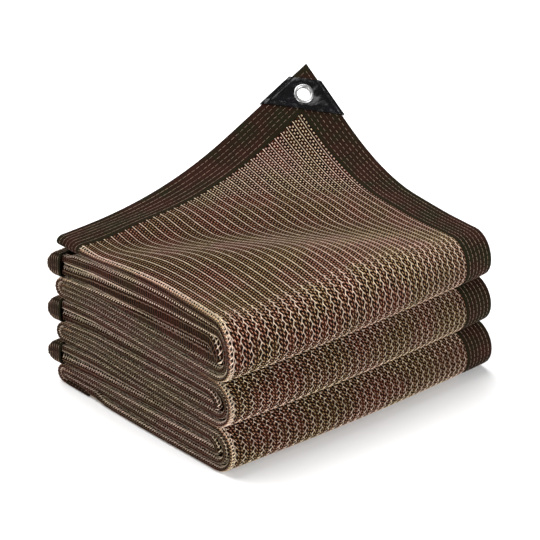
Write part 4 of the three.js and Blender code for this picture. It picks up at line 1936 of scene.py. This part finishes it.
@dataclass
class CornerPatch:
    """The black film patch over the corner: a sleeve with turned edges, drawn in by the eyelet.

    Sizes are in millimetres.

    Attributes:
        edge_room: how far it stands out past the cloth's edges.
        slot: room for the cloth between its faces.
        rear_seam: the turned seam beside the edge on the rear side.
        groove: the sunk line beside it, on both sides.
        edge_runs: run over which the cushion starts on the rear side and on the other.
        cushion: how high each face swells between its edges and the eyelet.
        cushion_run: run over which it rises from the eyelet.
        cushion_end: share of the patch over which it rises from the tip and the far edge.
        ring: distance from the eyelet's middle within which the film is held down.
        lean, lean_run: how far the film leans beside the eyelet, and over what run.
        pleats: how many pleats go round the eyelet, and where the first one starts.
        pleat, pleat_run: height of the pleats, and over what run they fade.
        stray, stray_length: how far the far edge strays from straight, and over what length.
    """

    corner: CornerPlan
    plate: float = 1.2
    edge_room: float = 1.0
    slot: float = 2.5
    grid: tuple[int, int] = (44, 120)
    edge_round: float = 1.1
    rear_seam: Seam = Seam(1.2, 2.6, 1.5)
    groove: Seam = Seam(0.35, 5.0, 1.3)
    edge_runs: tuple[float, float] = (8.0, 0.1)
    cushion: float = 1.8
    cushion_run: float = 6.0
    cushion_end: float = 0.35
    ring: float = 12.0
    lean: float = 0.6
    lean_run: float = 8.0
    pleats: tuple[float, float] = (7.0, 0.8)
    pleat: float = 0.22
    pleat_run: float = 9.0
    wave: float = 0.25
    wave_length: float = 9.0
    stray: float = 0.5
    stray_length: float = 12.0
    film: FilmFinish = FilmFinish()

    def build(self) -> Piece:
        """Builds the patch."""
        bm = bmesh.new()
        along, across = self.grid
        bmesh.ops.create_grid(bm, x_segments=along, y_segments=across, size=1.0)
        body = bmesh.ops.extrude_face_region(bm, geom=list(bm.faces))["geom"]
        lifted = [g for g in body if isinstance(g, bmesh.types.BMVert)]
        bmesh.ops.translate(bm, verts=lifted, vec=(0, 0, 1))
        for vert in bm.verts:
            vert.co = self._shaped(vert.co.x, vert.co.y, 1 if vert.co.z > 0.5 else -1)
        bmesh.ops.recalc_face_normals(bm, faces=bm.faces)
        sharp = math.radians(60)
        rim = [e for e in bm.edges if len(e.link_faces) == 2 and e.calc_face_angle() > sharp]
        bmesh.ops.bevel(
            bm,
            geom=rim,
            offset=self.edge_round,
            segments=3,
            profile=0.5,
            affect="EDGES",
            material=-1,
            clamp_overlap=True,
        )
        piece = finish_piece(bm, "film_patch", self.film.material(), self.corner.place)
        face_outwards(piece)
        self.corner.pierce(piece)
        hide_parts("corner_patch")
        return piece

    def _shaped(self, s: float, t: float, side: int) -> Vector:
        """Shapes a point of the patch.

        Args:
            s: place along the middle line, from -1 at the tip's side to 1.
            t: place across it, from -1 to 1.
            side: 1 on the face above the cloth and -1 on the one below.

        Returns:
            The point on the corner's plan.
        """
        c = self.corner
        along = mix(c.patch_near, c.patch_far, (s + 1) / 2)
        grow = self.edge_room + self.plate
        half_width = (along + grow / math.sin(c.half_angle)) * math.tan(c.half_angle)
        across = t * half_width
        from_side = (half_width - abs(across)) * math.cos(c.half_angle)
        past = max(0.0, math.hypot(along - c.eyelet, across) - self.ring)
        bearing = math.atan2(across, along - c.eyelet)
        edge_run = self.edge_runs[0 if across > 0 else 1]
        seam = self.rear_seam.at(from_side) if across > 0 else 0.0
        fold = seam - self.groove.at(from_side)
        risen = 1 - math.exp(-past / self.cushion_run)
        full = self.cushion * risen * float(smooth((from_side - edge_run / 2) / edge_run))
        drawn = full * float(smooth((1 - abs(s)) / self.cushion_end))
        drawn = drawn - self.lean * math.sin(bearing) * math.exp(-past / self.lean_run)
        count, first = self.pleats
        pleat = self.pleat * math.sin(count * bearing + first) * math.exp(-past / self.pleat_run)
        wave = self.wave * math.sin(across / self.wave_length) * (s + 1) / 2
        height = self.slot / 2 + self.plate + fold + drawn + pleat + wave
        strayed = along + self.stray * math.sin(across / self.stray_length) * max(0.0, s)
        return Vector((strayed, across, side * height))


@dataclass
class EyeletRing:
    """The turned ring: a barrel through the patch with a rolled flange on each side of it.

    Attributes:
        plane: height of the flanges over the cloth's middle.
        rise: height of their rolls.
        tuck: how far the barrel stops short of them.
    """

    corner: CornerPlan
    bore: float = 7.8
    barrel: float = 8.6
    flange: float = 11.9
    plane: float = 1.9
    rise: float = 1.5
    tuck: float = 0.2
    facets: tuple[int, int] = (64, 10)
    metal: MetalFinish = MetalFinish()

    def build(self) -> Piece:
        """Builds the ring by turning its section."""
        bm = bmesh.new()
        verts = [bm.verts.new((r, 0, h)) for r, h in self._section()]
        edges = [bm.edges.new((a, b)) for a, b in zip(verts, verts[1:] + verts[:1])]
        bmesh.ops.spin(
            bm,
            geom=verts + edges,
            cent=(0, 0, 0),
            axis=(0, 0, 1),
            angle=2 * math.pi,
            steps=self.facets[0],
            use_merge=True,
        )
        bmesh.ops.remove_doubles(bm, verts=bm.verts, dist=0.001)
        bmesh.ops.translate(bm, verts=bm.verts, vec=(self.corner.eyelet, 0, 0))
        piece = finish_piece(bm, "eyelet_ring", self.metal.material(), self.corner.place)
        face_outwards(piece)
        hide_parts("eyelet")
        return piece

    def _section(self) -> list[tuple[float, float]]:
        """The ring's section as radius and height: two rolled flanges joined by the barrel."""
        middle, half = (self.flange + self.bore) / 2, (self.flange - self.bore) / 2
        steps = self.facets[1]
        roll = [math.pi * i / steps for i in range(steps + 1)]
        upper = [(middle + half * math.cos(a), self.plane + self.rise * math.sin(a)) for a in roll]
        lower = [(r, -h) for r, h in reversed(upper)]
        inner = [(self.barrel, -self.plane + self.tuck), (self.barrel, self.plane - self.tuck)]
        return upper + lower + inner


# ------------------------------------------------------------------ the studio


@dataclass(frozen=True)
class SoftLight:
    """A square soft light: its name, its place and size in metres, and its power in watts."""

    name: str
    place: tuple[float, float, float]
    size: float
    power: float

    def hang(self) -> None:
        """Hangs the light, facing the pack."""
        data = bpy.data.lights.new(self.name, "AREA")
        data.size = self.size
        data.energy = self.power
        light = put(self.name, data)
        light.location = self.place
        light.rotation_euler = (-Vector(self.place)).to_track_quat("-Z", "Y").to_euler()


@dataclass
class Studio:
    """A pale floor, soft lights and the camera; lengths in metres, but the lens in millimetres.

    Attributes:
        middle: the middle of the frame, right of the near bottom corner and above it.
        target_height: height of the point whose distance from the camera is kept.
    """

    azimuth: float = -40.5
    elevation: float = 28.6
    lens: float = 800.0
    sensor: float = 36.0
    frame_width: float = 0.6086
    middle: tuple[float, float] = (0.0440, 0.2344)
    target_height: float = 0.1
    clip_end: float = 60.0
    floor_size: float = 6.0
    room_light: float = 0.15
    lights: tuple[SoftLight, ...] = (
        SoftLight("overhead", (0.0, 1.5, 3.2), 4.0, 256.0),
        SoftLight("front", (0.4, -2.6, 1.1), 1.4, 66.0),
        SoftLight("left", (-2.4, -0.9, 0.9), 1.2, 31.0),
    )
    floor: FloorFinish = FloorFinish()

    def build(self) -> None:
        """Sets the floor, the lights and the camera."""
        bpy.context.scene.view_settings.view_transform = "Standard"
        self._floor()
        self._world()
        self._camera()
        for light in self.lights:
            light.hang()

    def _floor(self) -> None:
        """Lays the floor."""
        bm = bmesh.new()
        bmesh.ops.create_grid(bm, x_segments=2, y_segments=2, size=self.floor_size)
        floor = put("floor", as_mesh(bm, "floor"))
        floor.data.materials.append(self.floor.material())

    def _world(self) -> None:
        """Fills the room with even light."""
        world = bpy.data.worlds.new("room")
        world.use_nodes = True
        background = next(n for n in world.node_tree.nodes if n.type == "BACKGROUND")
        background.inputs["Color"].default_value = (1.0, 1.0, 1.0, 1.0)
        background.inputs["Strength"].default_value = self.room_light
        bpy.context.scene.world = world

    def _camera(self) -> None:
        """Stands the camera at the pack's near corner, a long way off."""
        az, el = math.radians(self.azimuth), math.radians(self.elevation)
        back = Vector((math.sin(az) * math.cos(el), -math.cos(az) * math.cos(el), math.sin(el)))
        right = Vector((math.cos(az), math.sin(az), 0))
        target = self._target(right, back.cross(right))
        target += back * (Vector((0, 0, self.target_height)) - target).dot(back)
        data = bpy.data.cameras.new("camera")
        data.lens = self.lens
        data.sensor_width = self.sensor
        data.clip_end = self.clip_end
        camera = put("camera", data)
        camera.location = target + back * (self.frame_width * self.lens / self.sensor)
        camera.rotation_euler = back.to_track_quat("Z", "Y").to_euler()
        bpy.context.scene.camera = camera

    def _target(self, right: Vector, up: Vector) -> Vector:
        """The point in the middle of the frame."""
        corner = Vector((-SIZES.origin_x, -SIZES.origin_y, 0)) * MM
        return corner + right * self.middle[0] + up * self.middle[1]


def main() -> None:
    """Builds every part of the scene and reports each piece."""
    logging.basicConfig(level=logging.INFO, format="%(name)s: %(message)s")
    Studio().build()
    plan = FoldPlan()
    LOG.info("route %.0f mm, cut width %.0f mm", plan.route.way[-1], 2 * plan.half_width)
    bindings, corner = Bindings(plan), CornerPlan(plan.shape)
    pieces = KnittedNet(plan).build() + bindings.build(corner)
    tape = BindingFinish("cross_tape").material()
    sewing = StitchFinish("cross_tape_thread").material()
    for packet in range(SIZES.packets):
        pieces += FoldTape(packet, plan.shape).build(tape, sewing)
    pieces += [CornerPatch(corner).build(), EyeletRing(corner).build()]
    for piece in pieces:
        report(piece)


if __name__ == "__main__":
    main()
